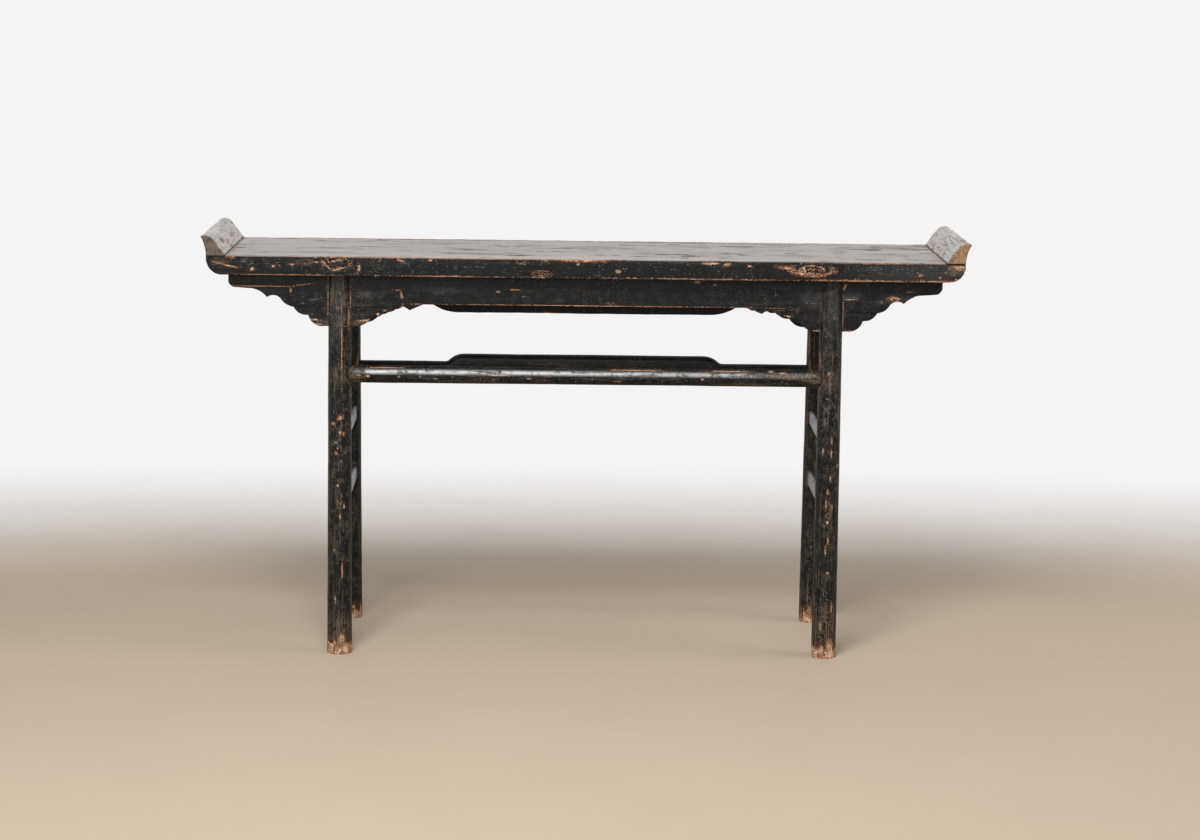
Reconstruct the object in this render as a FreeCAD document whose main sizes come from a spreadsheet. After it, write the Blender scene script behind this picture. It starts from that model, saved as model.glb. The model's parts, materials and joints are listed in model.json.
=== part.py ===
"""Altar table: a solid plank with everted flanges at its ends, on four round splayed legs.

Each leg's top is slotted and rides over a long apron and the spandrel below it, and its two tenons enter
the plank. Round stretchers join the legs lengthwise, straight at the front and humped at the back, and a
pair of squarer ones joins them at each end. Millimetres: +X along the plank, the front towards -Y,
+Z up, the origin on the floor below the middle of the plank.
"""
import FreeCAD
import Part
import math
import os

import Sketcher

SIZES = {
    # the plank
    "plank_length": 1600,
    "plank_width": 380,
    "plank_thickness": 41,
    "plank_top_height": 858,
    "plank_end_radius": 33,
    "plank_arris": 1.5,
    # the everted flanges, housed in the plank's ends on a sliding dovetail that stops short of the front
    "flange_foot_width": 40,
    "flange_overhang": 11.5,
    "flange_tip_height": 40,
    "flange_crest_height": 42.5,
    "flange_housing_depth": 2,
    "flange_tongue_neck": 14,
    "flange_tongue_head": 20,
    "flange_tongue_depth": 10,
    "flange_tongue_stop": 30,
    # the legs
    "leg_end_set_back": 278,
    "leg_top_set_back": 45,
    "leg_splay": 22,
    "leg_foot_radius": 26.5,
    "leg_top_radius": 24,
    "leg_tenon_width": 24,
    "leg_tenon_thickness": 7,
    "leg_tenon_length": 22,
    "leg_tenon_set_off": 1,
    # the long aprons and the spandrels glued below them
    "apron_end_set_back": 43,
    "apron_set_back": 44,
    "apron_thickness": 20,
    "apron_depth": 63,
    "apron_seam_depth": 71,
    "apron_inner_carve_width": 56,
    "spandrel_depth": 111,
    "spandrel_outer_reach": 97,
    "spandrel_inner_reach": 121,
    "back_apron_extra_depth": 31,
    "back_belly_depth": 117,
    "back_belly_shoulder_width": 68,
    # the long stretchers; each drop is from the plank's underside to a middle line
    "front_stretcher_radius": 18,
    "front_stretcher_drop": 213.5,
    "back_stretcher_thickness": 28,
    "back_stretcher_depth": 34,
    "back_stretcher_drop": 245,
    "back_hump_rise": 17,
    "back_hump_from_leg": 213,
    "back_hump_shoulder_width": 42,
    # the end stretchers
    "side_stretcher_thickness": 34,
    "side_stretcher_depth": 38,
    "side_stretcher_corner_radius": 10,
    "upper_side_stretcher_drop": 344,
    "lower_side_stretcher_drop": 481,
    # the stretchers' tenons
    "stretcher_tenon_thickness": 12,
    "stretcher_tenon_depth": 22,
    "stretcher_tenon_past_axis": 6,
    # the dovetailed battens under the plank
    "batten_from_leg": 232,
    "batten_width": 40,
    "batten_depth": 18,
    "batten_tongue_neck": 22,
    "batten_tongue_head": 30,
    "batten_tongue_depth": 10,
    # fits
    "joint_clearance": 0.1,
    "shoulder_clearance": 0.25,
    "mortise_end_gap": 1,
    "cutting_overrun": 4,
}

# A quarter round's middle stays this share of its radius inside the corner that it rounds.
QUARTER_ROUND_SHARE = 1 - 0.5 ** 0.5

# Points of the flange's end view: inwards from the plank's end as shares of the foot's width, and up from
# the plank's top as shares of the crest's height.
FLANGE_OUTER_FACE_SHARES = (-0.10, 0.55)
FLANGE_CREST_SHARES = (-0.04, 1.0)
FLANGE_CREST_END_SHARES = (0.325, 0.862)
FLANGE_INNER_FACE_SHARES = (0.70, 0.42)

# The carving of an apron's lower edge beyond its glued seam, walked away from the leg. Each point is a
# share of the carved width and, upwards from the seam, of the front apron's seam depth. A lone point ends
# a straight stretch, and a pair of points is an arc through the first to the second.
OUTER_CARVING_SHARES = (
    ((0.123, 0.085), (0.196, 0.240)),
    ((0.312, 0.352), (0.406, 0.282)),
    ((0.529, 0.472), (0.696, 0.549)),
    (0.913, 0.578),
    ((0.975, 0.655), (1.0, 0.789)),
)
INNER_CARVING_SHARES = (
    ((0.223, 0.032), (0.482, -0.070)),
)
BELLY_SHOULDER_SHARES = (0.515, 0.80)

# The spandrel's edge, walked from the seam's end towards the leg. Each point is a share of the reach from
# the leg's axis and, downwards from the seam, of the spandrel's own depth.
OUTER_SPANDREL_SHARES = (
    ((0.897, 0.300), (0.690, 0.425)),
    ((0.577, 0.850), (0.310, 1.0)),
)
INNER_SPANDREL_SHARES = (
    ((0.926, 0.190), (0.793, 0.200)),
    ((0.702, 0.450), (0.554, 0.550)),
    ((0.455, 0.850), (0.289, 1.0)),
)


class Size:
    """A length kept as an expression on the sheet, so that plain arithmetic keeps its tie to the sheet."""

    def __init__(self, text):
        self.text = text

    def __str__(self):
        return self.text

    def __add__(self, other):
        return Size(f"({self} + {other})")

    def __sub__(self, other):
        return Size(f"({self} - {other})")

    def __mul__(self, other):
        return Size(f"({self} * {other})")

    def __rmul__(self, other):
        return Size(f"({other} * {self})")

    def __truediv__(self, other):
        return Size(f"({self} / {other})")

    def __neg__(self):
        return Size(f"(-1 * {self})")

    def root(self):
        """The square root, for the length of a diagonal."""
        return Size(f"sqrt({self})")


class SheetSizes:
    """Gives each alias of the sheet as a Size."""

    def __getattr__(self, alias):
        if alias not in SIZES:
            raise AttributeError(alias)
        return Size(f"Sizes.{alias}")


class Arc:
    """A step of an outline: an arc through one point to another."""

    def __init__(self, via, end):
        self.via = via
        self.end = end


size = SheetSizes()
ZERO = Size("0")
FRONT, BACK = -1, 1
LEFT, RIGHT = -1, 1

plank_underside = size.plank_top_height - size.plank_thickness
leg_x = size.plank_length / 2 - size.leg_end_set_back
apron_plane = size.plank_width / 2 - size.apron_set_back
front_stretcher_height = plank_underside - size.front_stretcher_drop
back_stretcher_height = plank_underside - size.back_stretcher_drop
side_stretcher_heights = {
    "upper": plank_underside - size.upper_side_stretcher_drop,
    "lower": plank_underside - size.lower_side_stretcher_drop,
}


def leg_axis_depth(height):
    """How far the leg's axis lies from the table's middle plane at a height: the legs splay."""
    top = size.plank_width / 2 - size.leg_top_set_back
    return top + size.leg_splay * ((plank_underside - height) / plank_underside)


def make_sheet():
    """Writes the driving dimensions, one row each, with the alias that the expressions use."""
    sheet = document.addObject("Spreadsheet::Sheet", "Sizes")
    for row, (alias, value) in enumerate(SIZES.items(), start=1):
        sheet.set(f"A{row}", alias.replace("_", " "))
        sheet.set(f"B{row}", str(value))
        sheet.setAlias(f"B{row}", alias)
    document.recompute()


def new_body(name):
    """Starts one physical piece."""
    body = document.addObject("PartDesign::Body", name)
    body.Label = name
    return body


def new_sketch(body, plane, offset):
    """Adds a sketch parallel to one of the body's origin planes, at an offset along the world's axis."""
    sketch = body.newObject("Sketcher::SketchObject", f"{body.Name}_sketch")
    support = next(f for f in body.Origin.OriginFeatures if f.Role == f"{plane}_Plane")
    sketch.AttachmentSupport = [(support, "")]
    sketch.MapMode = "FlatFace"
    along_normal = -offset if plane == "XZ" else offset
    sketch.setExpression("AttachmentOffset.Base.z", str(along_normal))
    return sketch


def place(sketch, point):
    """A sketch point's position, from its two expressions."""
    return FreeCAD.Vector(*(sketch.evalExpression(str(part)) for part in point), 0)


def pin_down(sketch, rules, geometry, position, point):
    """Adds the two dimensions that hold a sketch point at its expressions."""
    here = place(sketch, point)
    for kind, value, part in (("DistanceX", here.x, point[0]), ("DistanceY", here.y, point[1])):
        rules.append((Sketcher.Constraint(kind, -1, 1, geometry, position, value), str(part)))


def add_arc(sketch, start, via, end):
    """Adds an arc through three points. Returns its index, and which of its ends start and end are."""
    circle = Part.Circle(start, via, end)
    centre = circle.Center
    turns_left = (via - start).cross(end - via).z > 0
    first, last = (start, end) if turns_left else (end, start)
    angles = [FreeCAD.Vector(1, 0, 0).getAngle(p - centre) * (1 if p.y >= centre.y else -1)
              for p in (first, last)]
    upright = Part.Circle(centre, FreeCAD.Vector(0, 0, 1), circle.Radius)
    index = sketch.addGeometry(Part.ArcOfCircle(upright, *angles), False)
    return (index, 1, 2) if turns_left else (index, 2, 1)


def end_of(step):
    """Where a step of an outline ends."""
    return step.end if isinstance(step, Arc) else step


def draw(sketch, start, steps, closed=True):
    """Draws an outline of lines and arcs, fully held by expressions. A step is a point or an Arc."""
    rules = []
    pieces = []
    here = start
    back_at_start = [str(part) for part in end_of(steps[-1])] == [str(part) for part in start]
    for step in [*steps, start] if closed and not back_at_start else steps:
        end = end_of(step)
        if isinstance(step, Arc):
            corners = [place(sketch, point) for point in (here, step.via, end)]
            piece = add_arc(sketch, *corners)
            helper = sketch.addGeometry(Part.Point(corners[1]), True)
            pin_down(sketch, rules, helper, 1, step.via)
            rules.append((Sketcher.Constraint("PointOnObject", helper, 1, piece[0]), None))
        else:
            line = Part.LineSegment(place(sketch, here), place(sketch, end))
            piece = (sketch.addGeometry(line, False), 1, 2)
        pin_down(sketch, rules, piece[0], piece[1], here)
        pieces.append(piece)
        here = end
    if not closed:
        pin_down(sketch, rules, pieces[-1][0], pieces[-1][2], here)
    neighbours = zip(pieces, pieces[1:] + pieces[:1] if closed else pieces[1:])
    for (one, _, one_end), (other, other_start, _) in neighbours:
        rules.append((Sketcher.Constraint("Coincident", one, one_end, other, other_start), None))
    numbers = sketch.addConstraint([rule for rule, _ in rules])
    for number, (_, expression) in zip(numbers, rules):
        if expression:
            sketch.setExpression(f"Constraints[{number}]", expression)


def draw_circle(sketch, centre, radius):
    """Draws a circle held by expressions."""
    start_radius = sketch.evalExpression(str(radius))
    circle = Part.Circle(place(sketch, centre), FreeCAD.Vector(0, 0, 1), start_radius)
    index = sketch.addGeometry(circle, False)
    rules = []
    pin_down(sketch, rules, index, 3, centre)
    rules.append((Sketcher.Constraint("Radius", index, start_radius), str(radius)))
    numbers = sketch.addConstraint([rule for rule, _ in rules])
    for number, (_, expression) in zip(numbers, rules):
        sketch.setExpression(f"Constraints[{number}]", expression)


def prism(body, kind, plane, outlines, low, high):
    """Pads or pockets closed outlines between two offsets along the plane's normal."""
    sketch = new_sketch(body, plane, (low + high) / 2)
    for start, *steps in outlines:
        draw(sketch, start, steps)
    feature = body.newObject(f"PartDesign::{kind}", f"{body.Name}_{kind.lower()}")
    feature.Profile = sketch
    feature.SideType = "Symmetric"
    feature.setExpression("Length", str(high - low))
    return feature


def rectangle(x_one, x_two, y_one, y_two):
    """A closed rectangular outline."""
    return [(x_one, y_one), (x_two, y_one), (x_two, y_two), (x_one, y_two)]


def round_corner(before, corner, after):
    """The arc that rounds a right-angled corner between two points equally far from it."""
    via = tuple(c + QUARTER_ROUND_SHARE * ((b - c) + (a - c)) for b, c, a in zip(before, corner, after))
    return Arc(via, after)


def upright_oval(middle, half_width, middle_height, half_depth):
    """A section of two half rounds joined by short upright sides."""
    left, right = middle - half_width, middle + half_width
    rise = half_depth - half_width
    low, high = middle_height - rise, middle_height + rise
    return [
        (left, low),
        Arc((middle, middle_height - half_depth), (right, low)),
        (right, high),
        Arc((middle, middle_height + half_depth), (left, high)),
    ]


def rounded_section(middle, half_width, middle_height, half_depth, radius):
    """A section with four flat sides and rounded corners."""
    left, right = middle - half_width, middle + half_width
    low, high = middle_height - half_depth, middle_height + half_depth
    return [
        (left + radius, low),
        (right - radius, low),
        round_corner((right - radius, low), (right, low), (right, low + radius)),
        (right, high - radius),
        round_corner((right, high - radius), (right, high), (right - radius, high)),
        (left + radius, high),
        round_corner((left + radius, high), (left, high), (left, high - radius)),
        (left, low + radius),
        round_corner((left, low + radius), (left, low), (left + radius, low)),
    ]


def dovetail(middle, neck, head, neck_height, head_height):
    """The section of a sliding dovetail, with its neck and its head at two heights."""
    return [
        (middle - neck / 2, neck_height),
        (middle + neck / 2, neck_height),
        (middle + head / 2, head_height),
        (middle - head / 2, head_height),
    ]


def leg_radius(height):
    """The leg's radius at a height: it tapers evenly from the floor to the plank."""
    return size.leg_foot_radius - (size.leg_foot_radius - size.leg_top_radius) * (height / plank_underside)


def turn_about_leg(body, kind, side, face, heights, radii):
    """Turns a round about a leg's leaning axis, as a solid or as a cut, between two heights.

    The profile is drawn on the leg's outer side, so that the seam stays clear of the stretchers' shoulders.
    """
    sketch = new_sketch(body, "YZ", side * leg_x)
    axis_low, axis_high = ((face * leg_axis_depth(height), height) for height in heights)
    edge_low, edge_high = ((face * (leg_axis_depth(height) + radius), height)
                           for height, radius in zip(heights, radii))
    draw(sketch, axis_low, [axis_high, edge_high, edge_low])
    turned = body.newObject(f"PartDesign::{kind}", f"{body.Name}_{kind.lower()}")
    turned.Profile = sketch
    turned.ReferenceAxis = (sketch, ["Edge1"])


def scribe_shoulder(body, side, face, height):
    """Hollows a stretcher's end to the leg. Within the stretcher's depth the leg hardly tapers."""
    radius = leg_radius(height) + size.shoulder_clearance
    reach = 2 * size.leg_foot_radius
    turn_about_leg(body, "Groove", side, face, (height - reach, height + reach), (radius, radius))


def tenon_outlines(side, face, clearance):
    """Seen from above, a leg's two top tenons, one each side of the slot that holds the apron."""
    outlines = []
    x_inner = side * leg_x - size.leg_tenon_width / 2 - clearance
    x_outer = side * leg_x + size.leg_tenon_width / 2 + clearance
    near = size.apron_thickness / 2 + size.leg_tenon_set_off
    for outwards in (FRONT, BACK):
        middle = face * apron_plane
        y_near = middle + outwards * (near - clearance)
        y_far = middle + outwards * (near + size.leg_tenon_thickness + clearance)
        outlines.append(rectangle(x_inner, x_outer, y_near, y_far))
    return outlines


def batten_dovetail(side, clearance, gap):
    """The section of a batten's tongue, or with a clearance and a gap, of its groove in the plank."""
    return dovetail(
        side * (leg_x - size.batten_from_leg),
        size.batten_tongue_neck + 2 * clearance,
        size.batten_tongue_head + 2 * clearance,
        plank_underside,
        plank_underside + size.batten_tongue_depth + gap,
    )


def flange_dovetail(side, clearance, gap):
    """The section of a flange's tongue, or with a clearance and a gap, of its groove in the plank."""
    housing = size.plank_top_height - size.flange_housing_depth
    return dovetail(
        side * (size.plank_length / 2 - size.flange_foot_width / 2),
        size.flange_tongue_neck + 2 * clearance,
        size.flange_tongue_head + 2 * clearance,
        housing,
        housing - size.flange_tongue_depth - gap,
    )


def ease_long_edges(body, base, half_width, width):
    """Takes the sharp arris off the edges round a padded plank's two long faces."""
    document.recompute()
    face_plane = base.evalExpression(str(half_width))
    names = [f"Edge{number}" for number, edge in enumerate(base.Shape.Edges, start=1)
             if math.isclose(abs(edge.CenterOfMass.y), face_plane)]
    chamfer = body.newObject("PartDesign::Chamfer", f"{body.Name}_arris")
    chamfer.Base = (base, names)
    chamfer.setExpression("Size", str(width))


def make_plank():
    """The plank: its lower end corners rounded, housed for the flanges, mortised for the legs."""
    body = new_body("top_plank")
    half_length = size.plank_length / 2
    half_width = size.plank_width / 2
    top = size.plank_top_height
    radius = size.plank_end_radius
    outline = [
        (-half_length, top),
        (-half_length, plank_underside + radius),
        round_corner((-half_length, plank_underside + radius), (-half_length, plank_underside),
                     (-half_length + radius, plank_underside)),
        (half_length - radius, plank_underside),
        round_corner((half_length - radius, plank_underside), (half_length, plank_underside),
                     (half_length, plank_underside + radius)),
        (half_length, top),
    ]
    board = prism(body, "Pad", "XZ", [outline], -half_width, half_width)
    ease_long_edges(body, board, half_width, size.plank_arris)

    overrun = size.cutting_overrun
    housings = [rectangle(side * (half_length - size.flange_foot_width), side * (half_length + overrun),
                          top - size.flange_housing_depth, top + overrun) for side in (LEFT, RIGHT)]
    prism(body, "Pocket", "XZ", housings, -half_width - overrun, half_width + overrun)
    grooves = [flange_dovetail(side, size.joint_clearance, size.mortise_end_gap) for side in (LEFT, RIGHT)]
    groove_start = size.flange_tongue_stop - half_width - size.joint_clearance
    prism(body, "Pocket", "XZ", grooves, groove_start, half_width + overrun)

    grooves = [batten_dovetail(side, size.joint_clearance, size.mortise_end_gap) for side in (LEFT, RIGHT)]
    groove_start = size.apron_thickness / 2 - apron_plane
    prism(body, "Pocket", "XZ", grooves, groove_start, half_width + overrun)

    mortises = [outline for side in (LEFT, RIGHT) for face in (FRONT, BACK)
                for outline in tenon_outlines(side, face, size.joint_clearance)]
    mortise_roof = plank_underside + size.leg_tenon_length + size.mortise_end_gap
    prism(body, "Pocket", "XY", mortises, plank_underside - overrun, mortise_roof)
    return body


def make_flange(name, side):
    """One everted flange: a curled block whose foot sits in the plank's housing."""
    body = new_body(name)
    top = size.plank_top_height
    housing = top - size.flange_housing_depth
    foot = size.flange_foot_width

    def at(inwards, height):
        return (side * (size.plank_length / 2 - inwards), height)

    def at_shares(shares):
        return at(shares[0] * foot, top + shares[1] * size.flange_crest_height)

    outline = [
        at(ZERO, housing),
        Arc(at_shares(FLANGE_OUTER_FACE_SHARES), at(-size.flange_overhang, top + size.flange_tip_height)),
        Arc(at_shares(FLANGE_CREST_SHARES), at_shares(FLANGE_CREST_END_SHARES)),
        Arc(at_shares(FLANGE_INNER_FACE_SHARES), at(foot, top)),
        at(foot, housing),
    ]
    half_width = size.plank_width / 2
    prism(body, "Pad", "XZ", [outline], -half_width, half_width)
    tongue = flange_dovetail(side, ZERO, ZERO)
    prism(body, "Pad", "XZ", [tongue], size.flange_tongue_stop - half_width, half_width)
    return body


def make_batten(name, side):
    """A batten below the plank, between the aprons. Its dovetailed tongue is run in from the back."""
    body = new_body(name)
    between_aprons = apron_plane - size.apron_thickness / 2
    front_end = size.joint_clearance - between_aprons
    middle = side * (leg_x - size.batten_from_leg)
    bar = rectangle(middle - size.batten_width / 2, middle + size.batten_width / 2,
                    plank_underside - size.batten_depth, plank_underside)
    prism(body, "Pad", "XZ", [bar], front_end, between_aprons - size.joint_clearance)
    tongue = batten_dovetail(side, ZERO, ZERO)
    prism(body, "Pad", "XZ", [tongue], front_end, size.plank_width / 2)
    return body


def carved_steps(shares, corner, width, rise, direction):
    """Turns a table of carving shares into an outline's steps, walked from a corner in one direction."""
    def at(pair):
        return (corner[0] + direction * pair[0] * width, corner[1] + pair[1] * rise)

    return [Arc(at(entry[0]), at(entry[1])) if isinstance(entry[0], tuple) else at(entry)
            for entry in shares]


def mirrored(steps):
    """The same outline steps on the other side of the table's middle."""
    def flip(point):
        return (-point[0], point[1])

    return [Arc(flip(step.via), flip(step.end)) if isinstance(step, Arc) else flip(step) for step in steps]


def reversed_steps(start, steps):
    """The same outline walked backwards, as its new start and steps."""
    ends = [start] + [end_of(step) for step in steps]
    back = []
    for step, end in zip(reversed(steps), reversed(ends[:-1])):
        back.append(Arc(step.via, end) if isinstance(step, Arc) else end)
    return ends[-1], back


def make_apron(name, face, extra_depth):
    """A long apron with a carved lower edge. The deeper back one also has a hanging belly."""
    body = new_body(name)
    seam = plank_underside - size.apron_seam_depth - extra_depth
    straight = plank_underside - size.apron_depth - extra_depth
    inner_seam_end = (leg_x - size.spandrel_inner_reach, seam)
    outer_seam_end = (leg_x + size.spandrel_outer_reach, seam)
    carve_end = leg_x - size.spandrel_inner_reach - size.apron_inner_carve_width
    apron_end = size.plank_length / 2 - size.apron_end_set_back
    outer_width = apron_end - leg_x - size.spandrel_outer_reach

    inner = carved_steps(INNER_CARVING_SHARES, inner_seam_end, size.apron_inner_carve_width,
                         size.apron_seam_depth, direction=-1)
    inner.append((carve_end, straight))
    if face == BACK:
        belly = plank_underside - size.back_belly_depth
        shoulder = size.back_belly_shoulder_width
        across, down = BELLY_SHOULDER_SHARES
        inner.append(Arc((carve_end - across * shoulder, straight + down * (belly - straight)),
                         (carve_end - shoulder, belly)))
    outer = carved_steps(OUTER_CARVING_SHARES, outer_seam_end, outer_width, size.apron_seam_depth,
                         direction=1)
    outer.append((apron_end, plank_underside))

    middle, from_middle = reversed_steps(inner_seam_end, inner)
    right_half = [*from_middle, outer_seam_end, *outer]
    left_start, left_half = reversed_steps((-middle[0], middle[1]), mirrored(right_half))
    outline = [left_start, *left_half, middle, *right_half]
    plane = face * apron_plane
    prism(body, "Pad", "XZ", [outline], plane - size.apron_thickness / 2, plane + size.apron_thickness / 2)
    return body


def make_spandrel(name, side, face, extra_depth):
    """A carved spandrel glued below the apron on both sides of the leg, and held in the leg's slot."""
    body = new_body(name)
    seam = plank_underside - size.apron_seam_depth - extra_depth
    depth = size.spandrel_depth - size.apron_seam_depth
    axis = (side * leg_x, seam)
    outer = carved_steps([(1.0, 0.0), *OUTER_SPANDREL_SHARES], axis, size.spandrel_outer_reach, -depth,
                         direction=side)
    inner = carved_steps([(1.0, 0.0), *INNER_SPANDREL_SHARES], axis, size.spandrel_inner_reach, -depth,
                         direction=-side)
    last, back = reversed_steps(inner[0], inner[1:])
    outline = [*outer, last, *back]
    plane = face * apron_plane
    prism(body, "Pad", "XZ", [outline], plane - size.apron_thickness / 2, plane + size.apron_thickness / 2)
    return body


def leg_mortise(body, side, face, along, height):
    """Cuts one stretcher's mortise in a leg, entered along X or along Y from the table's inside."""
    half_thickness = size.stretcher_tenon_thickness / 2 + size.joint_clearance
    half_depth = size.stretcher_tenon_depth / 2 + size.joint_clearance
    past = size.stretcher_tenon_past_axis + size.mortise_end_gap
    mouth = size.leg_foot_radius + size.cutting_overrun
    x_axis = side * leg_x
    y_axis = face * leg_axis_depth(height)
    if along == "X":
        outline = rectangle(x_axis - side * mouth, x_axis + side * past,
                            y_axis - half_thickness, y_axis + half_thickness)
    else:
        outline = rectangle(x_axis - half_thickness, x_axis + half_thickness,
                            y_axis - face * mouth, y_axis + face * past)
    prism(body, "Pocket", "XY", [outline], height - half_depth, height + half_depth)


def make_leg(name, side, face, extra_depth):
    """A leg: a leaning tapered round, slotted for apron and spandrel, with two tenons on its top."""
    body = new_body(name)
    low, high = -size.leg_foot_radius, plank_underside + size.leg_foot_radius
    turn_about_leg(body, "Revolution", side, face, (low, high), (leg_radius(low), leg_radius(high)))
    reach = size.leg_foot_radius + size.cutting_overrun
    y_one, y_two = face * (leg_axis_depth(high) - reach), face * (leg_axis_depth(low) + reach)
    whole = rectangle(side * leg_x - reach, side * leg_x + reach, y_one, y_two)
    prism(body, "Pocket", "XY", [whole], low - size.cutting_overrun, ZERO)
    prism(body, "Pocket", "XY", [whole], plank_underside, high + size.cutting_overrun)

    slot_bottom = plank_underside - size.spandrel_depth - extra_depth
    plane = face * apron_plane
    half_slot = size.apron_thickness / 2 + size.joint_clearance
    slot = rectangle(side * leg_x - reach, side * leg_x + reach, plane - half_slot, plane + half_slot)
    prism(body, "Pocket", "XY", [slot], slot_bottom, plank_underside + size.cutting_overrun)
    prism(body, "Pad", "XY", tenon_outlines(side, face, ZERO), plank_underside,
          plank_underside + size.leg_tenon_length)
    leg_mortise(body, side, face, "X", front_stretcher_height if face == FRONT else back_stretcher_height)
    for height in side_stretcher_heights.values():
        leg_mortise(body, side, face, "Y", height)
    return body


def long_tenons(body, face, height):
    """Adds the tenons at both ends of a stretcher that runs along X."""
    half_thickness = size.stretcher_tenon_thickness / 2
    half_depth = size.stretcher_tenon_depth / 2
    y_axis = face * leg_axis_depth(height)
    for side in (LEFT, RIGHT):
        outline = rectangle(side * (leg_x + size.stretcher_tenon_past_axis),
                            side * (leg_x - 2 * size.leg_foot_radius),
                            y_axis - half_thickness, y_axis + half_thickness)
        prism(body, "Pad", "XY", [outline], height - half_depth, height + half_depth)


def make_front_stretcher():
    """The round front stretcher, its shoulders scribed to the round legs."""
    body = new_body("front_stretcher")
    height = front_stretcher_height
    sketch = new_sketch(body, "YZ", ZERO)
    draw_circle(sketch, (-leg_axis_depth(height), height), size.front_stretcher_radius)
    bar = body.newObject("PartDesign::Pad", "front_stretcher_bar")
    bar.Profile = sketch
    bar.SideType = "Symmetric"
    bar.setExpression("Length", str(2 * leg_x))
    for side in (LEFT, RIGHT):
        scribe_shoulder(body, side, FRONT, height)
    long_tenons(body, FRONT, height)
    return body


def hump_shoulder(start, width, rise):
    """Two equal arcs that carry a level run smoothly up or down to another level."""
    half_run, half_rise = width / 2, rise / 2
    chord = (half_run * half_run + half_rise * half_rise).root()
    run_share = chord / 2
    rise_share = chord * (chord - half_run) / (2 * half_rise)
    middle = (start[0] + half_run, start[1] + half_rise)
    end = (start[0] + width, start[1] + rise)
    first = Arc((start[0] + run_share, start[1] + rise_share), middle)
    second = Arc((end[0] - run_share, end[1] - rise_share), end)
    return [first, second]


def make_back_stretcher():
    """The humped back stretcher: one upright oval section swept level, up, level, down and level."""
    body = new_body("back_stretcher")
    height = back_stretcher_height
    y_axis = leg_axis_depth(height)
    shoulder = size.back_hump_shoulder_width
    half_hump = leg_x - size.back_hump_from_leg - shoulder
    hump_height = height + size.back_hump_rise

    route = new_sketch(body, "XZ", y_axis)
    foot = (-half_hump - shoulder, height)
    crest_end = (half_hump, hump_height)
    steps = [foot, *hump_shoulder(foot, shoulder, size.back_hump_rise), crest_end,
             *hump_shoulder(crest_end, shoulder, -size.back_hump_rise), (leg_x, height)]
    draw(route, (-leg_x, height), steps, closed=False)

    section = new_sketch(body, "YZ", -leg_x)
    start, *section_steps = upright_oval(y_axis, size.back_stretcher_thickness / 2, height,
                                         size.back_stretcher_depth / 2)
    draw(section, start, section_steps)
    sweep = body.newObject("PartDesign::AdditivePipe", "back_stretcher_sweep")
    sweep.Profile = section
    sweep.Spine = route
    for side in (LEFT, RIGHT):
        scribe_shoulder(body, side, BACK, height)
    long_tenons(body, BACK, height)
    return body


def make_side_stretcher(name, side, height):
    """A stretcher of rounded square section from a front leg to a back leg, scribed to both."""
    body = new_body(name)
    x_axis = side * leg_x
    depth = leg_axis_depth(height)
    section = rounded_section(x_axis, size.side_stretcher_thickness / 2, height,
                              size.side_stretcher_depth / 2, size.side_stretcher_corner_radius)
    prism(body, "Pad", "XZ", [section], -depth, depth)
    for face in (FRONT, BACK):
        scribe_shoulder(body, side, face, height)
    half_thickness = size.stretcher_tenon_thickness / 2
    half_depth = size.stretcher_tenon_depth / 2
    outlines = [rectangle(x_axis - half_thickness, x_axis + half_thickness,
                          face * (depth + size.stretcher_tenon_past_axis),
                          face * (depth - 2 * size.leg_foot_radius)) for face in (FRONT, BACK)]
    prism(body, "Pad", "XY", outlines, height - half_depth, height + half_depth)
    return body


def make_table():
    """Makes every piece of the table."""
    pieces = [make_plank(), make_front_stretcher(), make_back_stretcher()]
    faces = (("front", FRONT, ZERO), ("back", BACK, size.back_apron_extra_depth))
    for side_name, side in (("left", LEFT), ("right", RIGHT)):
        pieces.append(make_flange(f"{side_name}_flange", side))
        pieces.append(make_batten(f"{side_name}_batten", side))
        for level, height in side_stretcher_heights.items():
            pieces.append(make_side_stretcher(f"{side_name}_{level}_side_stretcher", side, height))
        for face_name, face, extra_depth in faces:
            pieces.append(make_leg(f"{face_name}_{side_name}_leg", side, face, extra_depth))
            pieces.append(make_spandrel(f"{face_name}_{side_name}_spandrel", side, face, extra_depth))
    for face_name, face, extra_depth in faces:
        pieces.append(make_apron(f"{face_name}_apron", face, extra_depth))
    return pieces


def check_document(pieces):
    """Stops if a feature failed, a cut removed nothing, or a piece isn't one valid solid."""
    for item in document.Objects:
        if "Invalid" in item.State or "Error" in item.State:
            raise RuntimeError(f"{item.Label} failed: {item.State}")
        if item.TypeId in ("PartDesign::Pocket", "PartDesign::Groove"):
            if not item.Shape.Volume < item.BaseFeature.Shape.Volume:
                raise RuntimeError(f"{item.Label} cut nothing")
    for body in pieces:
        if body.Shape.isNull() or not body.Shape.isValid() or len(body.Shape.Solids) != 1:
            raise RuntimeError(f"{body.Label} isn't one valid solid")


def write_pieces(pieces):
    """Writes each piece to its own file and prints its volume."""
    os.makedirs("parts", exist_ok=True)
    for body in pieces:
        body.Shape.exportStep(f"parts/{body.Label}.step")
        print(f"{body.Label}: {body.Shape.Volume / 1000:.1f} cm3")


document = FreeCAD.newDocument("altar_table")
make_sheet()
table_pieces = make_table()
document.recompute()
check_document(table_pieces)
write_pieces(table_pieces)
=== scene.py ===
"""A long altar table of elm in worn black lacquer, dressed for its studio picture.

Lengths are in metres, with the table's length along X, its front towards -Y and Z up.
Each piece is a worn copy of the joiner's piece: its arrises are rounded and dented, its faces
made gently uneven by hand planing and use, and its finish has lacquer, bare wood, dust and grain.
"""

import json
import logging
import math
from collections.abc import Callable, Iterator
from contextlib import contextmanager
from dataclasses import dataclass, field, replace
from enum import Enum
from typing import Any

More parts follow.
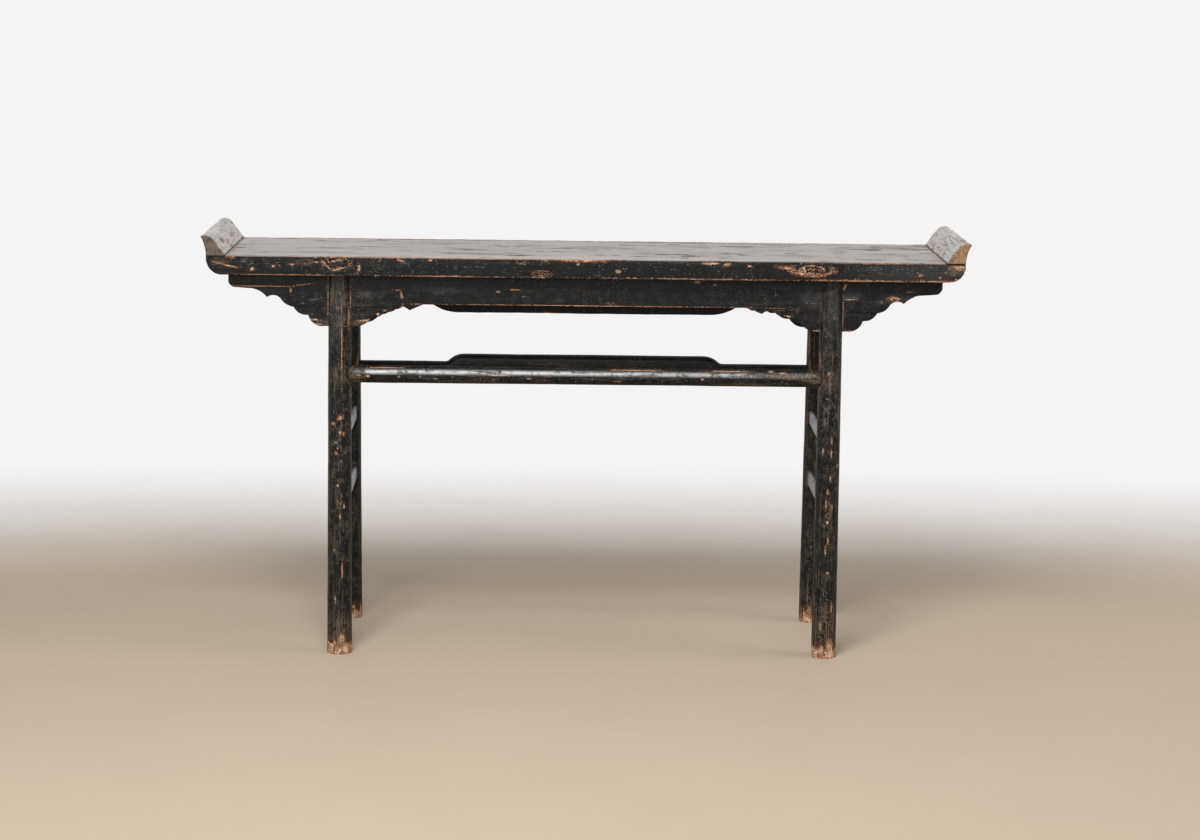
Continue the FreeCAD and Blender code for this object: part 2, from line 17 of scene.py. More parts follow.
import bmesh
import bpy
from mathutils import Matrix, Vector
from mathutils.bvhtree import BVHTree
from mathutils.kdtree import KDTree

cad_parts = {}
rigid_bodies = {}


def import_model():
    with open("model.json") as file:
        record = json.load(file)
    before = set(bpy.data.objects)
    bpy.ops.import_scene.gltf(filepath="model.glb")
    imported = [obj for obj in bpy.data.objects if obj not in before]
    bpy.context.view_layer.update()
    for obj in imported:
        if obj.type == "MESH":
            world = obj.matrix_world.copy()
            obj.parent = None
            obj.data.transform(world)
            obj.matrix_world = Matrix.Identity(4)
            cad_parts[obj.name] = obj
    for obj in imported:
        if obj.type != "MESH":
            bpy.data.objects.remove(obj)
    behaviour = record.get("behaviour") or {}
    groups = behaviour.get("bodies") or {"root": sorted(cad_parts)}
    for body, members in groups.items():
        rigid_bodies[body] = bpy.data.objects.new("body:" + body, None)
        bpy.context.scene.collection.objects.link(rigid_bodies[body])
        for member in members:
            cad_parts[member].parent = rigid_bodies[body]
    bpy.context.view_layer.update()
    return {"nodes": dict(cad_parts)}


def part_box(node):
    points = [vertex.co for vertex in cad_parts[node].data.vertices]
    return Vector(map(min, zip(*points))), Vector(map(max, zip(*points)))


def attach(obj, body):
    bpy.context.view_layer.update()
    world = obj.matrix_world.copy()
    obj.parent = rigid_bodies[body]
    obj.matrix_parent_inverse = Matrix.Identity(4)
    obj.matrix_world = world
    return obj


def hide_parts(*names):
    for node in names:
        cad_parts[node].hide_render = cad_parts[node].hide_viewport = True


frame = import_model()
LOG = logging.getLogger("altar_table")

Colour = tuple[float, float, float]
Point = tuple[float, float, float]
Place = tuple[float, ...]

MM = 0.001
RUB_ATTRIBUTE = "rub"
SEAM_ATTRIBUTE = "seam"

# How each worn copy is cleaned, measured and shaded.
MERGE_REACH = 0.01 * MM
FLAT_ANGLE = math.radians(0.6)
SMOOTH_ANGLE = math.radians(40.0)
EDGE_STEP = 2.0 * MM
TOUCHING_GAP = 1.5 * MM
LOOSE_REACH = 8.0 * MM
BREAK_RAMP = 2.5

# The noise value that leaves a point in place: above the middle, most points move inwards.
EVEN_LEVEL = 0.5
ARRIS_LEVEL = 0.75
BREAK_LEVEL = 0.8

# Steps of a value, from where it begins to count to where it counts in full.
BARE_STEP = (0.62, 0.70)
THIN_STEP = (0.30, 0.62)
SHELF_STEP = (0.30, 0.62)
GAP_STEP = (0.86, 0.96)
PIT_STEP = (0.42, 0.34)

# The heights between which wear sets in towards the feet.
FOOT_STEP = (80.0 * MM, 4.0 * MM)

# How many chips there may be in a metre, along the fibres and across them.
CHIP_SCALES = (15.0, 30.0)

# How many features the noises that don't follow the fibres have in a metre.
BLOTCH_SCALE = 62.0
FLECK_SCALE = 260.0
REGION_SCALE = 6.0


class Axis(Enum):
    """The three directions of the table, by their place in a point."""

    X = 0
    Y = 1
    Z = 2

    @property
    def direction(self) -> Vector:
        """A unit vector along this axis."""
        return Vector([float(axis is self) for axis in Axis])


class Mark(Enum):
    """What has happened to the finish at a place."""

    BARE = "knocked or rubbed through to the elm"
    KNOT = "broken open in ridges round a knot"
    # Polished places shine more where a piece has a coat, and their colour is paled towards grey as a
    # painted silvery sheen.
    POLISH_AND_SHEEN = "wiped smooth and silvery"
    SCUFF = "scratched pale grey"
    DUSTY = "thinned to a dusty brown"


class Side(Enum):
    """The table's two ends, as seen from the front."""

    LEFT = "left"
    RIGHT = "right"


class Row(Enum):
    """The front and the back of the table."""

    FRONT = "front"
    BACK = "back"


class Slot(Enum):
    """Names for the finishes of the groups of pieces; the script records them but doesn't apply them."""

    PLANK = "plank_lacquer"
    FLANGE = "flange_lacquer"
    FRAME = "frame_lacquer"
    ELM = "bare_elm"


class Wire:
    """A value that runs between shader nodes; plain signs on it add Math nodes."""

    def __init__(self, recipe: "Recipe", socket: bpy.types.NodeSocket) -> None:
        """Keeps the socket and the recipe that it belongs to."""
        self.recipe = recipe
        self.socket = socket

    def beside(self, output: int | str) -> "Wire":
        """Another output of the same node, by name or place."""
        return Wire(self.recipe, self.socket.node.outputs[output])

    def _maths(self, operation: str, first: "Wire | float", second: "Wire | float") -> "Wire":
        """Adds a Math node of that operation."""
        return self.recipe.node("ShaderNodeMath", {"operation": operation}, {0: first, 1: second})

    def __add__(self, other: "Wire | float") -> "Wire":
        """This plus other."""
        return self._maths("ADD", self, other)

    __radd__ = __add__

    def __sub__(self, other: "Wire | float") -> "Wire":
        """This minus other."""
        return self._maths("SUBTRACT", self, other)

    def __rsub__(self, other: float) -> "Wire":
        """A number minus this."""
        return self._maths("SUBTRACT", other, self)

    def __mul__(self, other: "Wire | float") -> "Wire":
        """This times other."""
        return self._maths("MULTIPLY", self, other)

    __rmul__ = __mul__

    def __abs__(self) -> "Wire":
        """This without its sign."""
        return self._maths("ABSOLUTE", self, 0.0)

    def at_least(self, other: "Wire | float") -> "Wire":
        """The larger of this and other."""
        return self._maths("MAXIMUM", self, other)

    def at_most(self, other: "Wire | float") -> "Wire":
        """The smaller of this and other."""
        return self._maths("MINIMUM", self, other)

    def fold(self) -> "Wire":
        """How far this is from the nearest whole number."""
        return self._maths("PINGPONG", self, 0.5)

    def rise(self, start: float, end: float) -> "Wire":
        """A smooth step of this value, 0 before start and 1 past end.

        Args:
            start: the value at which the step begins; above end, the step falls.
            end: the value at which it is complete.

        Returns:
            The stepped value.
        """
        return self.recipe.node(
            "ShaderNodeMapRange", {"interpolation_type": "SMOOTHSTEP"}, {0: self, 1: start, 2: end}
        )


@dataclass(frozen=True)
class Spot:
    """A place on the finish where something has happened to it."""

    mark: Mark
    centre: Point
    reach: Point
    turn: float = 0.0

    def turned_round(self) -> "Spot":
        """The same mark on the other side of the table, as if the table were turned round."""
        across, deep, high = self.centre
        return replace(self, centre=(-across, -deep, high), turn=-self.turn)


class Recipe:
    """One node tree, with a word for each kind of layer that a finish is made from."""

    def __init__(self, owner: bpy.types.Material | bpy.types.World) -> None:
        """Empties the tree.

        Args:
            owner: the material or the world that the tree belongs to.
        """
        owner.use_nodes = True
        self.owner = owner
        self.tree = owner.node_tree
        self.tree.nodes.clear()
        self.turns: dict[float, Wire] = {}

    def node(
        self,
        kind: str,
        settings: dict[str, Any] | None = None,
        inputs: dict[int | str, Any] | None = None,
        output: int | str = 0,
    ) -> Wire:
        """Adds one node.

        Args:
            kind: the node's type, such as ShaderNodeMath.
            settings: properties to set first, such as the operation.
            inputs: a number, colour or Wire for each socket, by name or place.
            output: which output the returned wire starts from.

        Returns:
            A wire from that output.
        """
        made = self.tree.nodes.new(kind)
        for name, setting in (settings or {}).items():
            setattr(made, name, setting)
        for key, value in (inputs or {}).items():
            if isinstance(value, Wire):
                self.tree.links.new(value.socket, made.inputs[key])
            else:
                made.inputs[key].default_value = value
        return Wire(self, made.outputs[output])

    def mix(self, amount: Wire | float, low: Wire | Colour, high: Wire | Colour) -> Wire:
        """Mixes two colours.

        Args:
            amount: 0 for low, 1 for high.
            low: the first colour.
            high: the second colour.

        Returns:
            The mixed colour.
        """
        ends = [end if isinstance(end, Wire) else (*end, 1.0) for end in (low, high)]
        return self.node(
            "ShaderNodeMix", {"data_type": "RGBA"}, {0: amount, 6: ends[0], 7: ends[1]}, output=2
        )

    def place(self) -> Wire:
        """The point on the piece, in metres."""
        return self.node("ShaderNodeTexCoord", output="Object")

    def parts(self, vector: Wire) -> tuple[Wire, Wire, Wire]:
        """The three numbers of a vector."""
        first = self.node("ShaderNodeSeparateXYZ", inputs={0: vector})
        return first, first.beside(1), first.beside(2)

    def attribute(self, name: str) -> Wire:
        """A number painted on the mesh under that name."""
        return self.node("ShaderNodeAttribute", {"attribute_name": name}, output="Fac")

    def length(self, vector: Wire) -> Wire:
        """How long a vector is."""
        return self.node("ShaderNodeVectorMath", {"operation": "LENGTH"}, {0: vector}, output=1)

    def noise(self, where: Wire, scale: float, detail: float = 4.0, roughness: float = 0.55) -> Wire:
        """Cloudy noise between 0 and 1, centred on 0.5.

        Args:
            where: the point to read it at.
            scale: features for each unit of where.
            detail: how many finer layers are added.
            roughness: how strong each finer layer is.

        Returns:
            The noise value.
        """
        sockets = {"Vector": where, "Scale": scale, "Detail": detail, "Roughness": roughness}
        return self.node("ShaderNodeTexNoise", inputs=sockets)

    def along_grain(self, where: Wire, grain: Axis, along: float, across: float) -> Wire:
        """Stretches a point's space, so that noise read there runs with the fibres.

        Args:
            where: the point.
            grain: the way that the fibres run.
            along: features for each metre along the fibres.
            across: features for each metre across them.

        Returns:
            The stretched point, to be read at a scale of 1.
        """
        scales = [across, across, across]
        scales[grain.value] = along
        return self.node("ShaderNodeVectorMath", {"operation": "MULTIPLY"}, {0: where, 1: scales})

    def turned(self, where: Wire, turn: float) -> Wire:
        """The point's place after a turn about Y, made once for all the spots that share it.

        Args:
            where: the point.
            turn: the turn in radians.

        Returns:
            The turned place.
        """
        if not turn:
            return where
        if turn not in self.turns:
            sockets = {"Vector": where, "Rotation": (0.0, turn, 0.0)}
            self.turns[turn] = self.node("ShaderNodeMapping", {"vector_type": "POINT"}, sockets)
        return self.turns[turn]

    def away_from(self, where: Wire, spot: Spot) -> Wire:
        """How far a point is from a spot's centre.

        Args:
            where: the point.
            spot: the spot.

        Returns:
            The distance, with 1 at the spot's rim.
        """
        centre = Matrix.Rotation(spot.turn, 3, "Y") @ Vector(spot.centre)
        scale = [1.0 / reach for reach in spot.reach]
        shift = [-part / reach for part, reach in zip(centre, spot.reach)]
        sockets = {0: self.turned(where, spot.turn), 1: scale, 2: shift}
        return self.length(self.node("ShaderNodeVectorMath", {"operation": "MULTIPLY_ADD"}, sockets))

    def finish(self, colour: Wire, roughness: Wire, **sockets: Any) -> bpy.types.Material:
        """Closes the recipe with a Principled surface.

        Args:
            colour: the base colour.
            roughness: the roughness.
            sockets: the other sockets' values, with spaces in their names as underscores.

        Returns:
            The material.
        """
        named = {name.replace("_", " "): value for name, value in sockets.items()}
        surface = self.node(
            "ShaderNodeBsdfPrincipled", inputs={"Base Color": colour, "Roughness": roughness, **named}
        )
        self.close(surface)
        return self.owner

    def close(self, surface: Wire, kind: str = "ShaderNodeOutputMaterial") -> None:
        """Joins a shader to the tree's output, a node of that kind."""
        out = self.tree.nodes.new(kind)
        self.tree.links.new(surface.socket, out.inputs["Surface"])


@dataclass(frozen=True)
class FibreNoise:
    """A noise that runs with the fibres, with its features for each metre along and across them."""

    along: float
    across: float
    detail: float
    roughness: float

    def over(
        self, recipe: Recipe, where: Wire, grain: Axis, shorter: float = 1.0, narrower: float = 1.0
    ) -> Wire:
        """Lays the noise over a piece.

        Args:
            recipe: the recipe that it belongs to.
            where: the point to read it at.
            grain: the way that the fibres run.
            shorter: how much shorter than usual its features are.
            narrower: how much narrower than usual they are.

        Returns:
            The noise value.
        """
        stretched = recipe.along_grain(where, grain, self.along * shorter, self.across * narrower)
        return recipe.noise(stretched, 1.0, self.detail, self.roughness)


FIBRES = FibreNoise(10.0, 300.0, 3.0, 0.6)
STREAKS = FibreNoise(11.0, 120.0, 4.0, 0.66)
FIGURE = FibreNoise(3.2, 58.0, 4.0, 0.66)
SHEEN = FibreNoise(5.0, 24.0, 4.0, 0.66)
CRACKS = FibreNoise(3.0, 46.0, 2.0, 0.5)
DENTS = FibreNoise(17.0, 34.0, 3.0, 0.6)
SCRATCHES = FibreNoise(18.0, 210.0, 2.0, 0.5)


@dataclass(frozen=True)
class Clouds:
    """The noises that one finish is drawn from, from wide regions down to flecks."""

    place: Wire
    normal: tuple[Wire, Wire, Wire]
    fibres: Wire
    streaks: Wire
    figure: Wire
    sheen: Wire
    blotch: Wire
    fleck: Wire
    region: Wire

    @classmethod
    def over(cls, recipe: Recipe, grain: Axis, fineness: float = 1.0) -> "Clouds":
        """Lays the noises over a piece.

        Args:
            recipe: the recipe that they belong to.
            grain: the way that the piece's fibres run.
            fineness: how much finer than usual its streaks, figure and sheen are.

        Returns:
            The noises.
        """
        place = recipe.place()
        normal = recipe.node("ShaderNodeNewGeometry", output="Normal")
        return cls(
            place=place,
            normal=recipe.parts(normal),
            fibres=FIBRES.over(recipe, place, grain),
            streaks=STREAKS.over(recipe, place, grain, narrower=fineness),
            figure=FIGURE.over(recipe, place, grain, fineness, fineness),
            sheen=SHEEN.over(recipe, place, grain, fineness, fineness),
            blotch=recipe.noise(place, BLOTCH_SCALE, 5.0, 0.66),
            fleck=recipe.noise(place, FLECK_SCALE, 2.0, 0.6),
            region=recipe.noise(place, REGION_SCALE, 3.0, 0.55),
        )


@dataclass(frozen=True)
class ElmColours:
    """Bare elm, from its pores to its fresh arrises."""

    pore: Colour = (0.035, 0.018, 0.010)
    red: Colour = (0.150, 0.055, 0.027)
    plain: Colour = (0.33, 0.180, 0.100)
    fresh: Colour = (0.70, 0.460, 0.320)


@dataclass(frozen=True)
class LacquerColours:
    """Black lacquer, from its deep new black to what dust and rubbing have made of it, with paler tones on
    upward faces and polished places that are partly a painted sheen.
    """

    deep: Colour = (0.0048, 0.0050, 0.0046)
    film: Colour = (0.0235, 0.0240, 0.0225)
    ridge: Colour = (0.105, 0.076, 0.053)
    undercoat: Colour = (0.066, 0.029, 0.016)
    speck: Colour = (0.38, 0.355, 0.315)
    dust: Colour = (0.150, 0.108, 0.072)
    # Pale grey for scratches, and for the painted sheen of polished places.
    scratch_and_sheen: Colour = (0.17, 0.17, 0.165)
    # Upward faces: dark lacquer, worn lacquer paled as a painted sheen, and the palest painted sheen where
    # polished.
    shelf_dark: Colour = (0.030, 0.022, 0.016)
    shelf_worn_and_sheen: Colour = (0.185, 0.128, 0.085)
    shelf_wiped_sheen: Colour = (0.30, 0.25, 0.21)


@dataclass(frozen=True)
class WornLacquer:
    """Black lacquer over elm, worn by long use."""

    name: str
    grain: Axis
    spots: tuple[Spot, ...] = ()
    edge_wear: float = 0.85
    chips: float = 1.0
    cracks: float = 0.5
    ridges: float = 0.45
    specks: float = 0.6
    joint_dust: float = 0.6
    foot_wear: float = 0.0
    shelf_sheen: float = 0.0
    shelf_relief: float = 4.5
    gloss: float = 0.0
    gloss_on_round: bool = False
    fineness: float = 1.0
    coat_roughness: float = 0.30
    coat_ior: float = 1.55
    relief: float = 1.0 * MM
    end_grain: Colour | None = None
    lacquer: LacquerColours = field(default_factory=LacquerColours)
    elm: ElmColours = field(default_factory=ElmColours)

    def make(self) -> bpy.types.Material:
        """Builds the finish.

        Returns:
            The material.
        """
        recipe = Recipe(bpy.data.materials.new(self.name))
        clouds = Clouds.over(recipe, self.grain, self.fineness)
        marks = {mark: self._marked(recipe, clouds, mark) for mark in Mark}
        crack = self._cracks(recipe, clouds)
        wear = self._wear(recipe, clouds, marks, crack)
        bare = wear.rise(*BARE_STEP)
        shelf = clouds.normal[Axis.Z.value].rise(*SHELF_STEP)
        colour = self._lacquer(recipe, clouds, wear.rise(*THIN_STEP))
        # Polished places are paled towards grey: a painted sheen.
        if marks[Mark.POLISH_AND_SHEEN]:
            colour = recipe.mix(0.12 * marks[Mark.POLISH_AND_SHEEN], colour, self.lacquer.scratch_and_sheen)
        dent = self._dents(recipe, clouds)
        # Upward faces take their own colour: worn lacquer paled as a painted sheen, with hollows painted
        # dark as shade.
        if self.shelf_sheen:
            colour = recipe.mix(shelf, colour, self._shelf_wear_and_sheen(recipe, clouds, dent, marks[Mark.POLISH_AND_SHEEN]))
        scratches = self._scratches(recipe, clouds, marks[Mark.SCUFF])
        colour = recipe.mix(scratches, colour, self.lacquer.scratch_and_sheen)
        colour = recipe.mix(bare, colour, self._wood(recipe, clouds, crack))
        if self.end_grain:
            colour = self._ends(recipe, clouds, colour)
        dusty = self._dust(recipe, clouds, marks[Mark.DUSTY])
        colour = recipe.mix(dusty, colour, self.lacquer.dust)
        gap = recipe.attribute(SEAM_ATTRIBUTE).rise(*GAP_STEP)
        colour = recipe.mix(gap * 0.9, colour, self.lacquer.deep)
        roughness = 0.34 + 0.30 * clouds.blotch + 0.22 * bare.at_least(dusty)
        height = clouds.streaks * 0.7 + clouds.fibres * 0.25 + clouds.blotch * 0.35
        height = height - bare * 0.5 - crack * 0.9
        if self.shelf_sheen:
            height = height + shelf * (clouds.sheen * self.shelf_relief + clouds.figure - dent * 0.8)
        bump = recipe.node(
            "ShaderNodeBump", inputs={"Strength": 0.6, "Distance": self.relief, "Height": height}
        )
        sockets: dict[str, Any] = {"Normal": bump, "Specular_IOR_Level": 0.16}
        if self.shelf_sheen:
            pits = clouds.fleck.rise(*PIT_STEP)
            dull = clouds.sheen.rise(0.46, 0.62) * 0.9 + dent * 1.2 + pits * 0.5
            dull = dull + bare * 0.9 + dusty * 0.6 + gap
            silver = 1.52 - dull + 0.4 * marks[Mark.POLISH_AND_SHEEN]
            sockets["Coat_Weight"] = (shelf * silver * self.shelf_sheen).at_least(0.0).at_most(1.0)
        if self.gloss:
            dull = bare.at_least(dusty).at_least(marks[Mark.DUSTY])
            sockets["Coat_Weight"] = self._polish(recipe, clouds, dull) * self.gloss
        if self.shelf_sheen or self.gloss:
            sockets["Coat_Roughness"] = self.coat_roughness
            sockets["Coat_IOR"] = self.coat_ior
        return recipe.finish(colour, roughness, **sockets)

    def _polish(self, recipe: Recipe, clouds: Clouds, dull: Wire) -> Wire:
        """Where hands and feet keep the lacquer bright: in patches, and on a round rail in a band.

        Args:
            recipe: the finish's recipe.
            clouds: its noises.
            dull: where nothing shines.

        Returns:
            How bright it is, from 0 to 1.
        """
        bright = clouds.blotch.rise(0.70, 0.48) * clouds.streaks.rise(0.72, 0.50) * (1.0 - 0.8 * dull)
        if not self.gloss_on_round:
            return bright
        upwards = clouds.normal[Axis.Z.value]
        clear = recipe.attribute(SEAM_ATTRIBUTE).rise(0.85, 0.10)
        return bright * clear * upwards.rise(0.04, 0.34) * upwards.rise(0.92, 0.60)

    def _marked(self, recipe: Recipe, clouds: Clouds, mark: Mark) -> Wire | float:
        """Where the spots of one mark are, with ragged rims.

        Args:
            recipe: the finish's recipe.
            clouds: its noises.
            mark: the mark whose spots are drawn.

        Returns:
            How strong the mark is, or a plain 0 where the piece has no such spot.
        """
        nearest: Wire | None = None
        for spot in self.spots:
            if spot.mark is mark:
                away = recipe.away_from(clouds.place, spot)
                nearest = away if nearest is None else nearest.at_most(away)
        if nearest is None:
            return 0.0
        if mark is Mark.POLISH_AND_SHEEN:
            return (nearest + (clouds.figure - 0.5) * 1.5).rise(1.2, 0.2)
        if mark is Mark.KNOT:
            drift = (clouds.blotch - 0.5) * 3.6 + (clouds.streaks - 0.5) * 2.2 + (clouds.fleck - 0.5) * 2.0
            rings = (nearest * 3.0 + drift).fold().rise(0.27, 0.37)
            return (nearest + 0.6 * drift).rise(1.25, 0.6) * rings
        coarse = (clouds.blotch - 0.5) * 2.2 + (clouds.streaks - 0.5) * 2.4
        ragged = nearest + coarse + (clouds.fleck - 0.5) * 3.0
        core = ragged.rise(1.0, 0.76)
        return core.at_least(ragged.rise(1.6, 1.0) * 0.5) if mark is Mark.BARE else core

    def _cracks(self, recipe: Recipe, clouds: Clouds) -> Wire:
        """Thin drying cracks that follow the fibres, in patches."""
        line = CRACKS.over(recipe, clouds.place, self.grain)
        return abs(line - 0.5).rise(0.016, 0.003) * clouds.region.rise(0.44, 0.58) * self.cracks

    def _dents(self, recipe: Recipe, clouds: Clouds) -> Wire:
        """Short hollows along the fibres, which cloths pass over and leave dull; on upward faces they are
        also painted dark, as shade where they catch no sheen.
        """
        hollow = DENTS.over(recipe, clouds.place, self.grain, self.fineness, self.fineness).rise(0.55, 0.63)
        return hollow * clouds.region.rise(0.36, 0.48) * clouds.streaks.rise(0.66, 0.48)

    def _wear(self, recipe: Recipe, clouds: Clouds, marks: dict[Mark, Wire | float], crack: Wire) -> Wire:
        """How far the lacquer is worn by hands, by its own age and by what the marks say.

        Args:
            recipe: the finish's recipe.
            clouds: its noises.
            marks: where each mark is.
            crack: where the cracks are.

        Returns:
            The wear, with bare wood past BARE_STEP.
        """
        edge = recipe.attribute(RUB_ATTRIBUTE)
        seam = recipe.attribute(SEAM_ATTRIBUTE)
        rubbed = edge * self.edge_wear * (0.30 + clouds.region)
        wear = rubbed + seam.rise(0.5, 1.0) * self.joint_dust * 0.2
        wear = wear + (clouds.blotch - 0.5) * 0.9 + (clouds.streaks - 0.5) * 0.8
        wear = wear + (clouds.region - 0.5) * 0.35 + crack * 0.55 + self._chips(recipe, clouds)
        ridged = clouds.fleck.rise(0.34, 0.46)
        wear = wear.at_least(ridged * marks[Mark.KNOT]) if marks[Mark.KNOT] else wear
        wear = wear.at_least(marks[Mark.BARE])
        if self.foot_wear:
            height = recipe.parts(clouds.place)[Axis.Z.value]
            wear = wear + height.rise(*FOOT_STEP) * self.foot_wear
        return wear

    def _chips(self, recipe: Recipe, clouds: Clouds) -> Wire:
        """Small chips here and there, each with its own size.

        Args:
            recipe: the finish's recipe.
            clouds: its noises.

        Returns:
            How strongly each chip wears through.
        """
        where = recipe.along_grain(clouds.place, self.grain, *CHIP_SCALES)
        cells = recipe.node("ShaderNodeTexVoronoi", inputs={"Vector": where, "Scale": 1.0})
        dice = recipe.parts(cells.beside("Color"))
        away = cells + (clouds.blotch - 0.5) * 0.6 + (clouds.fleck - 0.5) * 0.9 + dice[1] * 0.10
        return away.rise(0.17, 0.11) * dice[0].rise(0.70, 0.72) * self.chips * 0.75

    def _wood(self, recipe: Recipe, clouds: Clouds, crack: Wire) -> Wire:
        """The elm's colour, with pores, reddish stretches and fresh arrises.

        Args:
            recipe: the finish's recipe.
            clouds: its noises.
            crack: where the cracks are.

        Returns:
            The colour.
        """
        wood = recipe.mix(clouds.streaks.rise(0.38, 0.50), self.elm.red, self.elm.plain)
        wood = recipe.mix((clouds.blotch + clouds.fleck).rise(0.96, 1.12), wood, self.elm.fresh)
        wood = recipe.mix(clouds.fibres.rise(0.46, 0.36) * 0.75, wood, self.elm.pore)
        return recipe.mix(crack, wood, self.elm.pore)

    def _lacquer(self, recipe: Recipe, clouds: Clouds, thin: Wire) -> Wire:
        """The lacquer's colour: black, a greyed film, brown where it is thin, ridges and specks.

        Args:
            recipe: the finish's recipe.
            clouds: its noises.
            thin: where it is worn thin.

        Returns:
            The colour.
        """
        film = (clouds.streaks.rise(0.50, 0.66) * 0.35 + clouds.blotch.rise(0.46, 0.66) * 0.75).at_most(1.0)
        colour = recipe.mix(film, self.lacquer.deep, self.lacquer.film)
        colour = recipe.mix(thin * 0.9, colour, self.lacquer.undercoat)
        shown = clouds.streaks.rise(0.55, 0.66) * clouds.region.rise(0.38, 0.56)
        colour = recipe.mix(shown * self.ridges, colour, self.lacquer.ridge)
        speck = clouds.fleck.rise(0.64, 0.70) * (0.25 + 0.75 * clouds.region.rise(0.42, 0.58))
        return recipe.mix(speck * self.specks, colour, self.lacquer.speck)

    def _shelf_wear_and_sheen(self, recipe: Recipe, clouds: Clouds, dent: Wire, wiped: Wire | float) -> Wire:
        """The colour of upward faces: dark brown lacquer worn along the figure and paled as a painted sheen,
        with hollows painted dark as shade where they catch no sheen.

        Args:
            recipe: the finish's recipe.
            clouds: its noises.
            dent: where the hollows are.
            wiped: where it is polished, which gets the palest painted sheen.

        Returns:
            The colour.
        """
        # Streaks along the figure, from dark lacquer to worn lacquer that is paled as a painted sheen.
        worn = clouds.figure.rise(0.40, 0.60) * 0.8 + clouds.streaks.rise(0.5, 0.7) * 0.3
        colour = recipe.mix(worn.at_most(1.0), self.lacquer.shelf_dark, self.lacquer.shelf_worn_and_sheen)
        colour = recipe.mix(0.45 * wiped, colour, self.lacquer.shelf_wiped_sheen) if wiped else colour
        pores = clouds.fibres.rise(0.60, 0.44)
        colour = recipe.mix(clouds.fleck.rise(*PIT_STEP) * 0.5, colour, self.lacquer.deep)
        # Hollows are painted darker, as shade where they catch no sheen.
        return recipe.mix(dent * (0.15 + 0.5 * pores), colour, self.lacquer.deep)

    def _scratches(self, recipe: Recipe, clouds: Clouds, scuff: Wire | float) -> Wire | float:
        """Fine pale scratches inside the scuffed places.

        Args:
            recipe: the finish's recipe.
            clouds: its noises.
            scuff: where those places are.

        Returns:
            Where the scratches are, or a plain 0 where nothing is scuffed.
        """
        if not scuff:
            return 0.0
        lines = SCRATCHES.over(recipe, clouds.place, self.grain)
        return abs(lines - 0.52).rise(0.030, 0.008) * clouds.blotch.rise(0.46, 0.60) * scuff * 0.8

    def _ends(self, recipe: Recipe, clouds: Clouds, colour: Wire) -> Wire:
        """The colour with the end grain's own tone on the two ends.

        Args:
            recipe: the finish's recipe.
            clouds: its noises.
            colour: the colour of the rest.

        Returns:
            The colour.
        """
        end = abs(clouds.normal[self.grain.value]).rise(0.80, 0.95)
        dark = tuple(0.45 * part for part in self.end_grain)
        mottled = recipe.mix((clouds.fleck + clouds.blotch - 0.5).rise(0.34, 0.62), dark, self.end_grain)
        return recipe.mix(end * 0.95, colour, mottled)

    def _dust(self, recipe: Recipe, clouds: Clouds, marked: Wire | float) -> Wire:
        """Dusty brown in the joints and where marks say so.

        Args:
            recipe: the finish's recipe.
            clouds: its noises.
            marked: where those marks are.

        Returns:
            How dusty it is, from 0 to 1.
        """
        seam = recipe.attribute(SEAM_ATTRIBUTE)
        joints = seam.rise(0.45, 1.0) * clouds.blotch.rise(0.42, 0.60) * self.joint_dust
        grainy = (clouds.streaks + clouds.fleck - 0.5).rise(0.42, 0.60) * 0.75
        return joints.at_least(grainy * marked) if marked else joints


@dataclass(frozen=True)
class BareElm:
    """Unfinished elm, greyed and dusty, as on a hidden batten."""

    name: str
    grain: Axis
    pore: Colour = (0.05, 0.030, 0.018)
    plain: Colour = (0.22, 0.140, 0.084)
    grey: Colour = (0.17, 0.14, 0.11)
    relief: float = 0.8 * MM

    def make(self) -> bpy.types.Material:
        """Builds the finish.

        Returns:
            The material.
        """
        recipe = Recipe(bpy.data.materials.new(self.name))
        clouds = Clouds.over(recipe, self.grain)
        colour = recipe.mix(clouds.streaks.rise(0.36, 0.58), self.pore, self.plain)
        colour = recipe.mix(clouds.figure.rise(0.40, 0.65) * 0.8, colour, self.grey)
        colour = recipe.mix(clouds.fibres.rise(0.42, 0.34) * 0.7, colour, self.pore)
        height = clouds.streaks + 0.4 * clouds.fibres + 0.4 * clouds.blotch
        bump = recipe.node(
            "ShaderNodeBump", inputs={"Strength": 0.6, "Distance": self.relief, "Height": height}
        )
        return recipe.finish(colour, 0.68 + 0.25 * clouds.blotch, Normal=bump, Specular_IOR_Level=0.25)


